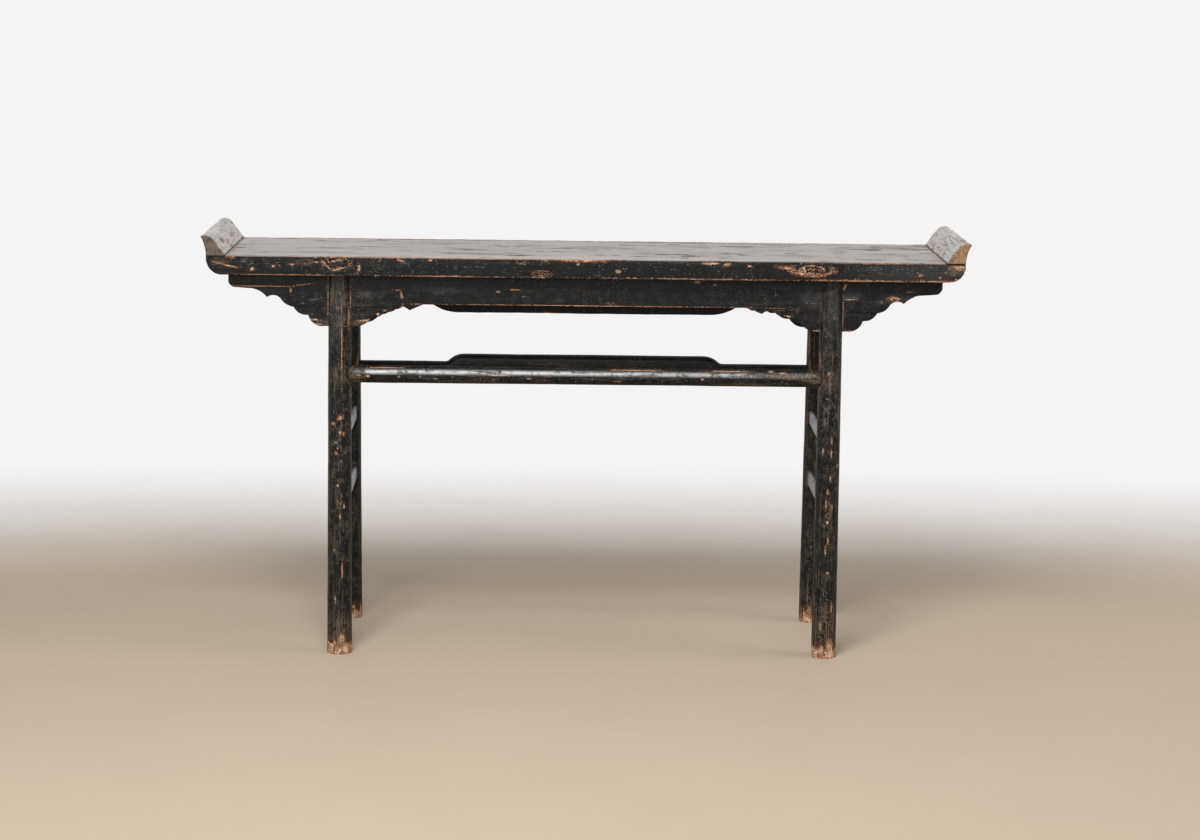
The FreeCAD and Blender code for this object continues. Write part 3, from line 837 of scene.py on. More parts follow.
class Bench:
    """The hand tools that every piece is worked with."""

    @staticmethod
    def put_down() -> None:
        """Deselects everything."""
        for other in bpy.context.view_layer.objects:
            other.select_set(False)

    @staticmethod
    def choose(piece: bpy.types.Object) -> None:
        """Selects one piece alone and makes it active.

        Args:
            piece: the piece.
        """
        Bench.put_down()
        piece.select_set(True)
        bpy.context.view_layer.objects.active = piece

    @staticmethod
    @contextmanager
    def editing(piece: bpy.types.Object) -> Iterator[None]:
        """Opens a piece in edit mode with all of it selected, and closes it at the end.

        Args:
            piece: the piece.

        Returns:
            The context to work in.
        """
        Bench.choose(piece)
        bpy.ops.object.mode_set(mode="EDIT")
        bpy.ops.mesh.select_all(action="SELECT")
        yield
        bpy.ops.object.mode_set(mode="OBJECT")

    @staticmethod
    def pick_faces(piece: bpy.types.Object, wanted: Callable[[Vector], bool]) -> None:
        """Selects faces by their middle, in a piece that is open in edit mode.

        Args:
            piece: the piece.
            wanted: says whether the face with that middle is selected.
        """
        bpy.ops.mesh.select_mode(type="FACE")
        bpy.ops.mesh.select_all(action="DESELECT")
        shape = bmesh.from_edit_mesh(piece.data)
        for face in shape.faces:
            face.select_set(wanted(face.calc_center_median()))
        bmesh.update_edit_mesh(piece.data)

    @staticmethod
    def modify(piece: bpy.types.Object, kind: str, **settings: Any) -> None:
        """Adds a modifier and applies it.

        Args:
            piece: the piece to change.
            kind: the modifier's type.
            settings: its properties.
        """
        Bench.choose(piece)
        bpy.ops.object.modifier_add(type=kind)
        modifier = piece.modifiers[-1]
        for name, value in settings.items():
            setattr(modifier, name, value)
        bpy.ops.object.modifier_apply(modifier=modifier.name)

    @staticmethod
    def extent(piece: bpy.types.Object, axis: Axis) -> tuple[float, float]:
        """The lowest and highest place of a piece along an axis."""
        places = [vertex.co[axis.value] for vertex in piece.data.vertices]
        return min(places), max(places)

    @staticmethod
    def score(piece: bpy.types.Object, axis: Axis, places: list[float]) -> None:
        """Cuts rings across a piece, so that it can take a wavy surface.

        Args:
            piece: the piece to cut.
            axis: the direction that the rings step along.
            places: where the rings lie along it.
        """
        with Bench.editing(piece):
            for place in places:
                bpy.ops.mesh.select_all(action="SELECT")
                bpy.ops.mesh.bisect(plane_co=axis.direction * place, plane_no=axis.direction)

    @staticmethod
    def weigh(piece: bpy.types.Object, name: str, weights: list[float]) -> None:
        """Adds a vertex group.

        Args:
            piece: the piece.
            name: the group's name.
            weights: one weight for each vertex.
        """
        group = piece.vertex_groups.new(name=name)
        for index, weight in enumerate(weights):
            group.add([index], weight, "REPLACE")


@dataclass(frozen=True)
class Hand:
    """How much a piece's faces wander from true, as hand planes and use leave them."""

    long_wave: float = 1.2 * MM
    short_wave: float = 0.6 * MM
    long_size: float = 0.16
    short_size: float = 0.03
    dent: float = 2.2 * MM
    dent_size: float = 0.022


@dataclass(frozen=True)
class Break:
    """A place where the wood itself is broken, such as a knot or a knocked arris."""

    centre: Point
    reach: Point
    depth: float = 3.0 * MM
    size: float = 0.008
    cuts: int = 5

    def nearness(self, point: Vector) -> float:
        """How deep inside the break a point is: 1 at its middle, 0 past its rim."""
        steps = [(point[index] - self.centre[index]) / self.reach[index] for index in range(3)]
        return max(0.0, 1.0 - math.sqrt(sum(step * step for step in steps)))


@dataclass
class WornPiece:
    """One wooden piece: a worn copy of the joiner's piece of the same name."""

    node: str
    spacing: Point
    arris: float = 1.2 * MM
    arris_rings: tuple[float, ...] = ()
    hand: Hand = field(default_factory=Hand)
    breaks: tuple[Break, ...] = ()
    dusty_against: str = "leg"
    rub_reach: float = 7.0 * MM
    seam_reach: float = 22.0 * MM
    sharp_angle: float = math.radians(35.0)

    def build(self) -> bpy.types.Object:
        """Makes the worn copy.

        Returns:
            The finished piece, with its wear painted on the mesh.
        """
        source = frame["nodes"][self.node]
        piece = bpy.data.objects.new(f"worn_{self.node}", source.data.copy())
        bpy.context.scene.collection.objects.link(piece)
        piece.data.materials.clear()
        with Bench.editing(piece):
            bpy.ops.mesh.remove_doubles(threshold=MERGE_REACH)
            bpy.ops.mesh.dissolve_limited(angle_limit=FLAT_ANGLE)
        edges = self._open_edges(piece, self._others(""))
        Bench.modify(
            piece, "BEVEL", width=self.arris, segments=2, limit_method="ANGLE", angle_limit=self.sharp_angle
        )
        for axis in Axis:
            Bench.score(piece, axis, self._rings(piece, axis))
        self._divide_breaks(piece)
        self._paint(piece, self._others(self.dusty_against), edges)
        self._wander(piece)
        self._smooth(piece)
        LOG.info("%s: %d faces", piece.name, len(piece.data.polygons))
        return piece

    def _rings(self, piece: bpy.types.Object, axis: Axis) -> list[float]:
        """Where the rings across one axis lie: evenly spaced, and close beside the arrises.

        Args:
            piece: the piece.
            axis: the direction that the rings step along.

        Returns:
            Their places along it.
        """
        low, high = Bench.extent(piece, axis)
        spacing = self.spacing[axis.value]
        if not spacing:
            return []
        steps = max(1, round((high - low) / spacing))
        places = [low + (high - low) * step / steps for step in range(1, steps)]
        beside = [low + ring for ring in self.arris_rings] + [high - ring for ring in self.arris_rings]
        return places + beside

    def _others(self, having: str) -> BVHTree:
        """A search tree of the surfaces of other pieces.

        Args:
            having: a word in those pieces' names, or nothing for all of them.

        Returns:
            The tree.
        """
        points: list[Vector] = []
        faces: list[list[int]] = []
        for name, other in frame["nodes"].items():
            if name == self.node or having not in name:
                continue
            start = len(points)
            points.extend(vertex.co.copy() for vertex in other.data.vertices)
            faces.extend([start + index for index in face.vertices] for face in other.data.polygons)
        return BVHTree.FromPolygons(points, faces)

    def _open_edges(self, piece: bpy.types.Object, others: BVHTree) -> KDTree:
        """Points along the sharp edges that hands and cloths can reach.

        Args:
            piece: the piece, before its arrises are rounded.
            others: the other pieces' surfaces.

        Returns:
            A search tree of the points.
        """
        mesh = piece.data
        normals: dict[tuple[int, int], list[Vector]] = {}
        for face in mesh.polygons:
            for key in face.edge_keys:
                normals.setdefault(key, []).append(face.normal.copy())
        found: list[Vector] = []
        for (start, end), sides in normals.items():
            if len(sides) != 2 or sides[0].angle(sides[1], 0.0) < self.sharp_angle:
                continue
            first = mesh.vertices[start].co
            last = mesh.vertices[end].co
            steps = max(1, math.ceil((last - first).length / EDGE_STEP))
            for step in range(steps + 1):
                point = first.lerp(last, step / steps)
                if others.find_nearest(point, TOUCHING_GAP)[0] is None:
                    found.append(point)
        tree = KDTree(max(1, len(found)))
        for index, point in enumerate(found):
            tree.insert(point, index)
        if not found:
            far_below = Vector((0.0, 0.0, -1.0))
            tree.insert(far_below, 0)
        tree.balance()
        return tree

    def _divide_breaks(self, piece: bpy.types.Object) -> None:
        """Divides the faces round each break, so that they can take its relief.

        Args:
            piece: the piece.
        """
        for broken in self.breaks:
            with Bench.editing(piece):
                Bench.pick_faces(piece, lambda middle: broken.nearness(middle) > 0.0)
                bpy.ops.mesh.subdivide(number_cuts=broken.cuts)

    def _paint(self, piece: bpy.types.Object, others: BVHTree, edges: KDTree) -> None:
        """Paints how near each point is to an open edge and to a joint, and weighs what may move.

        Args:
            piece: the piece.
            others: the surfaces of the pieces that it gathers dust against.
            edges: points along its open edges.
        """
        rubbed: list[float] = []
        close: list[float] = []
        everything = self._others("")
        for vertex in piece.data.vertices:
            to_edge = edges.find(vertex.co)[2]
            rubbed.append(max(0.0, 1.0 - to_edge / self.rub_reach))
            to_seam = others.find_nearest(vertex.co, self.seam_reach)[3]
            close.append(0.0 if to_seam is None else 1.0 - to_seam / self.seam_reach)
        touching = [everything.find_nearest(vertex.co, LOOSE_REACH)[3] for vertex in piece.data.vertices]
        loose = [1.0 if gap is None else gap / LOOSE_REACH for gap in touching]
        Bench.weigh(piece, "loose", loose)
        Bench.weigh(piece, "arris", [rub * free for rub, free in zip(rubbed, loose)])
        for number, broken in enumerate(self.breaks):
            deep = [min(1.0, BREAK_RAMP * broken.nearness(vertex.co)) for vertex in piece.data.vertices]
            Bench.weigh(piece, f"break_{number}", deep)
        for name, values in ((RUB_ATTRIBUTE, rubbed), (SEAM_ATTRIBUTE, close)):
            layer = piece.data.attributes.new(name, "FLOAT", "POINT")
            layer.data.foreach_set("value", values)

    def _wander(self, piece: bpy.types.Object) -> None:
        """Lets the faces wander a little, dents the arrises and roughens the breaks.

        Args:
            piece: the piece.
        """
        hand = self.hand
        self._displace(piece, "loose", hand.long_wave, hand.long_size, EVEN_LEVEL)
        self._displace(piece, "loose", hand.short_wave, hand.short_size, EVEN_LEVEL)
        self._displace(piece, "arris", hand.dent, hand.dent_size, ARRIS_LEVEL)
        for number, broken in enumerate(self.breaks):
            self._displace(piece, f"break_{number}", broken.depth, broken.size, BREAK_LEVEL)

    def _displace(
        self, piece: bpy.types.Object, group: str, depth: float, size: float, level: float
    ) -> None:
        """Moves a group of points in and out along their normals.

        Args:
            piece: the piece.
            group: the vertex group that is moved.
            depth: the difference between the noise's black and white.
            size: the size of its clouds.
            level: the noise value that stays in place.
        """
        texture = bpy.data.textures.new(f"{piece.name}_{group}_{size}", "CLOUDS")
        texture.noise_scale = size
        texture.noise_depth = 3
        Bench.modify(
            piece,
            "DISPLACE",
            texture=texture,
            texture_coords="LOCAL",
            strength=depth,
            mid_level=level,
            vertex_group=group,
        )

    def _smooth(self, piece: bpy.types.Object) -> None:
        """Shades the piece smooth, with flat faces kept flat up to their arrises.

        Args:
            piece: the piece.
        """
        Bench.choose(piece)
        bpy.ops.object.shade_smooth_by_angle(angle=SMOOTH_ANGLE)
        Bench.modify(piece, "WEIGHTED_NORMAL", mode="FACE_AREA", weight=80, keep_sharp=True)


@dataclass
class SubAssembly:
    """A group of worn pieces that share a finish, with a slot that is recorded but not applied."""

    slot: Slot = Slot.FRAME

    def pieces(self) -> tuple[WornPiece, ...]:
        """The pieces, in the order that they are made."""
        raise NotImplementedError

    def finish(self) -> WornLacquer | BareElm:
        """What the pieces are dressed in."""
        raise NotImplementedError

    def build(self) -> list[bpy.types.Object]:
        """Makes, dresses and mounts each piece.

        Returns:
            The finished pieces.
        """
        material = self.finish().make()
        made = []
        for piece in self.pieces():
            dressed = piece.build()
            dressed.data.materials.append(material)
            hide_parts(piece.node)
            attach(dressed, "root")
            made.append(dressed)
        return made


@dataclass(frozen=True)
class PhotoCamera:
    """The camera that took the picture, as found from the table's own corners."""

    place: Point = (-0.0637, -6.3439, 1.5473)
    lens: float = 88.197
    sensor: float = 36.0
    turn: float = math.radians(0.8958)
    tilt: float = math.radians(9.5105)
    roll: float = math.radians(0.7509)

    def set_up(self) -> None:
        """Makes the camera and gives it to the scene."""
        data = bpy.data.cameras.new("photo_camera")
        data.sensor_fit = "HORIZONTAL"
        data.sensor_width = self.sensor
        data.lens = self.lens
        camera = bpy.data.objects.new("photo_camera", data)
        bpy.context.scene.collection.objects.link(camera)
        ahead = Vector((math.sin(self.turn), math.cos(self.turn), 0.0)) * math.cos(self.tilt)
        ahead.z = -math.sin(self.tilt)
        camera.location = self.place
        level = ahead.to_track_quat("-Z", "Y").to_euler()
        level.rotate_axis("Z", self.roll)
        camera.rotation_euler = level
        bpy.context.scene.camera = camera


@dataclass(frozen=True)
class Lamp:
    """A soft rectangular lamp that points at the table's middle, and may stay out of reflections."""

    name: str
    place: Point
    size: tuple[float, float]
    power: float
    mirrored: bool = True
    aim: Point = (0.0, 0.0, 0.6)

    def set_up(self) -> None:
        """Makes the lamp and turns it towards its aim."""
        data = bpy.data.lights.new(self.name, "AREA")
        data.shape = "RECTANGLE"
        data.size, data.size_y = self.size
        data.energy = self.power
        lamp = bpy.data.objects.new(self.name, data)
        bpy.context.scene.collection.objects.link(lamp)
        lamp.visible_glossy = self.mirrored
        lamp.location = self.place
        ahead = Vector(self.aim) - Vector(self.place)
        lamp.rotation_euler = ahead.to_track_quat("-Z", "Y").to_euler()


@dataclass(frozen=True)
class Studio:
    """A pale floor, which fades out between near and far, and soft light."""

    floor_half: float = 9.0
    floor_colour: Colour = (0.530, 0.430, 0.325)
    surround_colour: Colour = (0.91, 0.90, 0.90)
    floor_shape: Point = (0.45, 1.0, 1.0)
    floor_shift: Point = (0.0, 0.6, 0.0)
    near: float = 1.2
    far: float = 2.9
    ambient: Colour = (0.33, 0.33, 0.33)
    lamps: tuple[Lamp, ...] = (
        Lamp("key_light", (-0.55, -2.7, 3.5), (1.7, 1.2), 120.0),
        Lamp("front_light", (-1.0, -4.3, 2.0), (1.6, 1.6), 50.0),
        Lamp("side_light", (3.0, -0.6, 2.4), (1.5, 1.5), 26.0, mirrored=False),
    )

    def set_up(self) -> None:
        """Makes the floor, the world and the lamps."""
        self._floor()
        self._world()
        for lamp in self.lamps:
            lamp.set_up()
        bpy.context.scene.view_settings.view_transform = "Standard"

    def _floor(self) -> None:
        """A pale floor that fades into the background and can't be seen from below."""
        Bench.put_down()
        bpy.ops.mesh.primitive_plane_add(size=2.0 * self.floor_half, location=(0.0, 0.0, 0.0))
        floor = bpy.context.active_object
        floor.name = "studio_floor"
        recipe = Recipe(bpy.data.materials.new("studio_floor"))
        place = recipe.place()
        inner = recipe.node(
            "ShaderNodeVectorMath",
            {"operation": "MULTIPLY_ADD"},
            {0: place, 1: self.floor_shape, 2: self.floor_shift},
        )
        cloud = recipe.noise(place, 3.0, 4.0)
        fade = (recipe.length(inner) + 0.2 * cloud).rise(self.near, self.far)
        behind = recipe.node("ShaderNodeNewGeometry", output="Backfacing")
        colour = recipe.mix(cloud, self.floor_colour, tuple(0.92 * part for part in self.floor_colour))
        solid = recipe.node(
            "ShaderNodeBsdfPrincipled",
            inputs={"Base Color": colour, "Roughness": 0.7, "Specular IOR Level": 0.3},
        )
        clear = recipe.node("ShaderNodeBsdfTransparent")
        mixed = recipe.node("ShaderNodeMixShader", inputs={0: fade.at_least(behind), 1: solid, 2: clear})
        recipe.close(mixed)
        floor.data.materials.append(recipe.owner)

    def _world(self) -> None:
        """An even pale surround, plain to the camera and in reflections."""
        world = bpy.data.worlds.new("studio_world")
        bpy.context.scene.world = world
        recipe = Recipe(world)
        seen = recipe.node("ShaderNodeLightPath", output="Is Camera Ray")
        mirrored = seen.beside("Is Glossy Ray").at_least(seen.beside("Is Transmission Ray"))
        colour = recipe.mix(seen.at_least(mirrored), self.ambient, self.surround_colour)
        background = recipe.node("ShaderNodeBackground", inputs={"Color": colour})
        recipe.close(background, "ShaderNodeOutputWorld")


@dataclass(frozen=True)
class Face:
    """A face that looks forwards: its place along Y, and how far behind it a mark reaches."""

    front: float
    reach: float

    def marks(self, mark: Mark, *places: Place) -> tuple[Spot, ...]:
        """Marks on the face.

        Args:
            mark: what they are.
            places: for each, its X and Z, its half width and half height and, where it is turned, how
                many degrees its right end is raised; lengths in millimetres.

        Returns:
            The spots.
        """
        spots = []
        for across, high, wide, tall, *raised in places:
            turn = math.radians(raised[0]) if raised else 0.0
            centre = (across * MM, self.front, high * MM)
            spots.append(Spot(mark, centre, (wide * MM, self.reach, tall * MM), turn))
        return tuple(spots)


PLANK_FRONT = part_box("top_plank")[0].y
PLANK_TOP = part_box("top_plank")[1].z
PLANK_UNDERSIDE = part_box("top_plank")[0].z

# A bare line lies on the plank just inside each flange's foot.
FOOT_LINE_INSET = 3.0 * MM
FOOT_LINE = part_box("right_flange")[0].x - FOOT_LINE_INSET

# The legs lean, so their faces are set in from their boxes, to where most of the marks are.
FRONT_LEG_INSET = 8.5 * MM
BACK_LEG_INSET = 5.0 * MM

PLANK_FACE = Face(PLANK_FRONT, 12.0 * MM)
PLANK_DEEP = Face(PLANK_FRONT, 20.0 * MM)
APRON_FACE = Face(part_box("front_apron")[0].y, 10.0 * MM)
LEG_FACE = Face(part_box("front_left_leg")[0].y + FRONT_LEG_INSET, 40.0 * MM)
BACK_LEG_FACE = Face(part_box("back_left_leg")[0].y + BACK_LEG_INSET, 30.0 * MM)
RAIL_FACE = Face(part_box("front_stretcher")[0].y, 30.0 * MM)
BACK_RAIL_FACE = Face(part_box("back_stretcher")[0].y, 20.0 * MM)


def arris_marks(high: float, *places: Place) -> tuple[Spot, ...]:
    """Bare places along one of the plank's front arrises.

    Args:
        high: the arris's height.
        places: for each, its X, its half width, its depth and its half height, in millimetres.

    Returns:
        The spots.
    """
    return tuple(
        Spot(Mark.BARE, (across * MM, PLANK_FRONT, high), (wide * MM, deep * MM, tall * MM))
        for across, wide, deep, tall in places
    )


def both_sides(spots: tuple[Spot, ...]) -> tuple[Spot, ...]:
    """The front's marks, and every second one of them again at the back."""
    return spots + tuple(spot.turned_round() for spot in spots[::2])


PLANK_MARKS = (
    *PLANK_FACE.marks(
        Mark.BARE,
        (-757, 838, 27, 2.0, -12), (-745, 856, 5, 4), (-703, 830, 5, 4), (-659, 837, 6, 3.5),
        (-645, 838, 2, 2), (-619, 840, 7, 3), (-567, 846, 7, 2.5), (-549, 842, 18, 2.4, -48),
        (-518, 833, 17, 2.4, 15),
        (-478, 835, 3.5, 8), (-390, 851, 9, 2.5, -15), (-328, 853, 5, 2.5), (-17, 848, 4, 3.5),
        (68, 833, 5, 4), (262, 853, 20, 4), (296, 851, 10, 5, 20), (426, 843, 20, 4.5, -8),
        (455, 833, 17, 3, -7), (489, 829, 15, 3, 5), (345, 847, 7, 2.5, -20), (705, 832, 6, 3),
        (757, 838, 4, 2.5), (786, 850, 20, 8, -12), (746, 828, 3, 2.5), (780, 824, 3, 2.5),
    ),
    *PLANK_DEEP.marks(Mark.KNOT, (-530, 860, 44, 29), (-94, 824, 26, 10), (474, 842, 54, 16)),
    *PLANK_FACE.marks(
        Mark.SCUFF,
        (-440, 832, 26, 12), (-375, 840, 30, 14), (-240, 838, 40, 8), (640, 840, 60, 12),
        (-700, 838, 90, 16),
    ),
    *PLANK_FACE.marks(
        Mark.DUSTY,
        (-720, 848, 9, 6), (-436, 838, 5, 6), (-595, 846, 25, 9), (780, 842, 26, 14), (-770, 845, 24, 10),
    ),
    # Polished: paled as a painted sheen.
    *PLANK_DEEP.marks(Mark.POLISH_AND_SHEEN, (700, 838, 170, 34)),
    *arris_marks(PLANK_TOP, (-250, 300, 3, 2.0), (-14, 56, 6, 5.2), (650, 140, 3, 2.6)),
    *arris_marks(
        PLANK_UNDERSIDE, (-640, 150, 6, 3.0), (-290, 150, 6, 3.6), (190, 250, 6, 3.4), (640, 200, 6, 4.6)
    ),
)

TOP_MARKS = (
    Spot(Mark.BARE, (0.000, -PLANK_FRONT, PLANK_TOP), (0.850, 0.026, 0.008)),
    Spot(Mark.DUSTY, (0.000, -PLANK_FRONT, PLANK_TOP), (0.850, 0.050, 0.010)),
    Spot(Mark.BARE, (-FOOT_LINE, 0.000, PLANK_TOP), (0.0040, 0.220, 0.004)),
    Spot(Mark.BARE, (FOOT_LINE, 0.000, PLANK_TOP), (0.0034, 0.220, 0.004)),
    # Polished: paled as a painted sheen.
    Spot(Mark.POLISH_AND_SHEEN, (0.000, PLANK_FRONT + 0.030, PLANK_TOP), (0.850, 0.036, 0.010)),
)

PLANK_BREAKS = (
    Break((-0.532, PLANK_FRONT, 0.846), (0.050, 0.016, 0.022), 4.5 * MM, 0.009, 6),
    Break((0.470, PLANK_FRONT, 0.842), (0.066, 0.014, 0.017), 3.5 * MM, 0.008, 5),
    Break((-0.100, PLANK_FRONT, 0.824), (0.040, 0.014, 0.012), 3.5 * MM, 0.007, 5),
    Break((0.275, PLANK_FRONT, 0.853), (0.040, 0.012, 0.009), 3.5 * MM, 0.007, 5),
    Break((0.790, PLANK_FRONT, 0.848), (0.026, 0.016, 0.014), 3.0 * MM, 0.008, 4),
    Break((-0.441, PLANK_FRONT, PLANK_UNDERSIDE), (0.007, 0.014, 0.010), 9.0 * MM, 0.010, 5),
)

LEFT_FLANGE_MARKS = (
    Spot(Mark.BARE, (-0.776, -0.103, 0.881), (0.004, 0.020, 0.010)),
    Spot(Mark.BARE, (-0.767, -0.053, 0.868), (0.006, 0.014, 0.008)),
    Spot(Mark.BARE, (-0.771, 0.076, 0.874), (0.003, 0.034, 0.004)),
    Spot(Mark.DUSTY, (-0.776, -0.080, 0.880), (0.010, 0.050, 0.016)),
)

RIGHT_FLANGE_MARKS = (
    Spot(Mark.BARE, (0.768, 0.020, 0.870), (0.002, 0.060, 0.003)),
    Spot(Mark.BARE, (0.800, -0.110, 0.899), (0.005, 0.030, 0.004)),
    Spot(Mark.DUSTY, (0.795, -0.140, 0.900), (0.016, 0.060, 0.010)),
)

APRON_MARKS = (
    *APRON_FACE.marks(
        Mark.BARE,
        (-150, 788, 17, 1.8, -2), (-186, 784, 4, 2.5), (235, 809, 6, 2.5), (273, 803, 5, 2),
        (-690, 790, 68, 1.5), (-600, 794, 28, 1.4, 7), (-625, 782, 2, 7), (-523, 775, 6, 6),
        (-392, 779, 1.8, 4), (-390, 772, 2.2, 8), (-398, 785, 12, 1.6), (-388, 747, 5, 4),
        (-426, 740, 5, 2.5), (-464, 719, 20, 2.5, 4), (-440, 733, 4, 3.5), (-575, 720, 14, 2, -5),
        (-572, 710, 18, 2.2),
        (548, 800, 2.4, 10, -30), (560, 775, 20, 1.6), (690, 792, 10, 2.2), (655, 778, 12, 5),
        (388, 745, 5, 3.5), (430, 738, 9, 2.2), (492, 707, 14, 2.6), (560, 706, 15, 2.8),
    ),
    *APRON_FACE.marks(
        Mark.BARE,
        (-546, 762, 1.2, 44), (-499, 742, 1.3, 44), (500, 742, 1.4, 44), (546, 748, 1.1, 40),
        (-4, 755, 330, 1.5),
    ),
    *APRON_FACE.marks(
        Mark.SCUFF,
        (-150, 778, 60, 8), (-430, 776, 48, 16), (-300, 780, 40, 8), (482, 770, 24, 26), (560, 782, 26, 14),
        (415, 752, 30, 8), (640, 765, 40, 14), (-600, 765, 60, 22),
    ),
    *APRON_FACE.marks(Mark.DUSTY, (-480, 714, 26, 12), (-560, 712, 26, 12)),
    # Polished: paled as a painted sheen.
    *APRON_FACE.marks(
        Mark.POLISH_AND_SHEEN,
        (-465, 776, 38, 13), (482, 774, 30, 26), (560, 784, 34, 16), (-300, 786, 60, 10), (660, 776, 50, 16),
    ),
)

LEFT_LEG_MARKS = (
    *LEG_FACE.marks(
        Mark.BARE,
        (-534, 500, 5, 4), (-519, 513, 7, 5, 30), (-519, 481, 4, 7), (-512, 478, 2, 4), (-528, 437, 3, 5),
        (-528, 460, 2, 3), (-525, 447, 2, 3), (-524, 367, 3, 3), (-519, 300, 2.4, 7), (-511, 322, 1.6, 6),
        (-531, 227, 3, 5), (-516, 672, 1.3, 85), (-502, 726, 2.2, 30), (-497, 560, 3, 16),
        (-515, 180, 1.6, 16), (-530, 120, 2, 10), (-516, 34, 5, 9), (-530, 18, 4, 8), (-505, 16, 5, 6),
    ),
    *LEG_FACE.marks(
        Mark.DUSTY,
        (-521, 333, 10, 26), (-545, 400, 6, 130), (-520, 604, 34, 30), (-522, 60, 34, 44),
    ),
    *LEG_FACE.marks(Mark.SCUFF, (-520, 745, 20, 60), (-526, 430, 20, 70)),
    # Polished: paled as a painted sheen.
    *LEG_FACE.marks(Mark.POLISH_AND_SHEEN, (-524, 750, 34, 80)),
)

RIGHT_LEG_MARKS = (
    *LEG_FACE.marks(
        Mark.BARE,
        (527, 474, 1.8, 8), (527, 446, 2, 9), (509, 451, 1.8, 8), (526, 393, 2, 8), (521, 364, 2, 6),
        (518, 338, 1.8, 9), (531, 330, 1.8, 7), (522, 298, 4, 4), (524, 258, 2.2, 10), (519, 236, 2, 8),
        (525, 188, 4, 4), (542, 420, 3, 4), (500, 640, 1.8, 24), (518, 618, 3, 4), (535, 110, 1.8, 11),
        (512, 70, 2, 10), (532, 30, 5, 10), (515, 20, 4, 6),
    ),
    *LEG_FACE.marks(Mark.DUSTY, (524, 320, 11, 30), (522, 604, 34, 30), (524, 72, 34, 50)),
    *LEG_FACE.marks(Mark.SCUFF, (520, 745, 20, 60), (522, 520, 20, 60)),
    # Polished: paled as a painted sheen.
    *LEG_FACE.marks(Mark.POLISH_AND_SHEEN, (524, 750, 34, 80)),
)

BACK_LEG_MARKS = BACK_LEG_FACE.marks(
    Mark.BARE,
    (502, 640, 2, 30), (504, 572, 2.4, 36), (-503, 580, 2.4, 26), (-508, 566, 1.6, 20), (506, 700, 1.6, 40),
)

RAIL_MARKS = (
    *RAIL_FACE.marks(
        Mark.BARE,
        (-461, 602, 5, 2.5), (-480, 604, 4, 2), (-395, 601, 4, 2.5), (-350, 602, 3, 2.5), (-318, 597, 8, 2),
        (396, 619, 7, 2.4), (420, 617, 7, 2.4), (-120, 600, 7, 2), (70, 596, 9, 2), (250, 602, 4, 2.5),
        (-190, 606, 34, 1.6), (-420, 619, 40, 1.4), (120, 619, 60, 1.4), (300, 619, 50, 1.4),
    ),
    *RAIL_FACE.marks(
        Mark.DUSTY,
        (-485, 604, 26, 24), (485, 604, 30, 24), (350, 590, 120, 8), (-250, 590, 90, 7),
        (420, 611, 90, 7),
    ),
)

BACK_RAIL_MARKS = BACK_RAIL_FACE.marks(
    Mark.BARE,
    (-150, 628, 30, 1.6), (60, 636, 3, 5), (-440, 604, 18, 2.4), (300, 628, 24, 1.6), (-300, 640, 14, 2),
)


@dataclass
class Plank(SubAssembly):
    """The one thick board of the top."""

    slot: Slot = Slot.PLANK
    spacing: Point = (0.010, 0.014, 0.012)
    arris: float = 2.4 * MM
    arris_rings: tuple[float, ...] = (4.0 * MM, 8.0 * MM)

    def pieces(self) -> tuple[WornPiece, ...]:
        """The plank alone, with the knots and knocks along its front.

        Returns:
            The pieces, in the order that they are made.
        """
        return (
            WornPiece(
                "top_plank",
                self.spacing,
                arris=self.arris,
                arris_rings=self.arris_rings,
                breaks=PLANK_BREAKS,
                dusty_against="flange",
            ),
        )

    def finish(self) -> WornLacquer:
        """Black lacquer, shiny on top from wiping, with its top colour paled as a painted sheen.

        Returns:
            The finish.
        """
        return WornLacquer(
            "plank_lacquer_worn",
            Axis.X,
            both_sides(PLANK_MARKS) + TOP_MARKS,
            shelf_sheen=1.0,
            edge_wear=0.42,
            chips=0.85,
            ridges=0.08,
            specks=0.48,
            joint_dust=0.4,
            lacquer=LacquerColours(film=(0.0105, 0.0110, 0.0104), undercoat=(0.045, 0.022, 0.014)),
        )


@dataclass
class Flange(SubAssembly):
    """One of the two everted ends that stand on the plank."""

    side: Side = Side.LEFT
    end_grain: Colour = (0.150, 0.115, 0.090)
    spots: tuple[Spot, ...] = ()
    slot: Slot = Slot.FLANGE
    spacing: Point = (0.006, 0.008, 0.006)
    arris: float = 1.6 * MM
    arris_rings: tuple[float, ...] = (4.0 * MM,)

    def pieces(self) -> tuple[WornPiece, ...]:
        """The flange alone.

        Returns:
            The pieces, in the order that they are made.
        """
        return (
            WornPiece(
                f"{self.side.value}_flange",
                self.spacing,
                arris=self.arris,
                arris_rings=self.arris_rings,
                dusty_against="plank",
            ),
        )

    def finish(self) -> WornLacquer:
        """Black lacquer, shiny on top and pale grey there as a painted sheen, with its end grain showing.

        Returns:
            The finish.
        """
        return WornLacquer(
            f"{self.side.value}_flange_lacquer_worn",
            Axis.Y,
            self.spots,
            shelf_sheen=1.0,
            shelf_relief=2.0,
            end_grain=self.end_grain,
            edge_wear=0.40,
            joint_dust=0.3,
            fineness=3.4,
            # Pale grey upward faces: partly worn lacquer, partly a painted sheen.
            lacquer=LacquerColours(shelf_dark=(0.10, 0.088, 0.076), shelf_worn_and_sheen=(0.46, 0.41, 0.37)),
        )


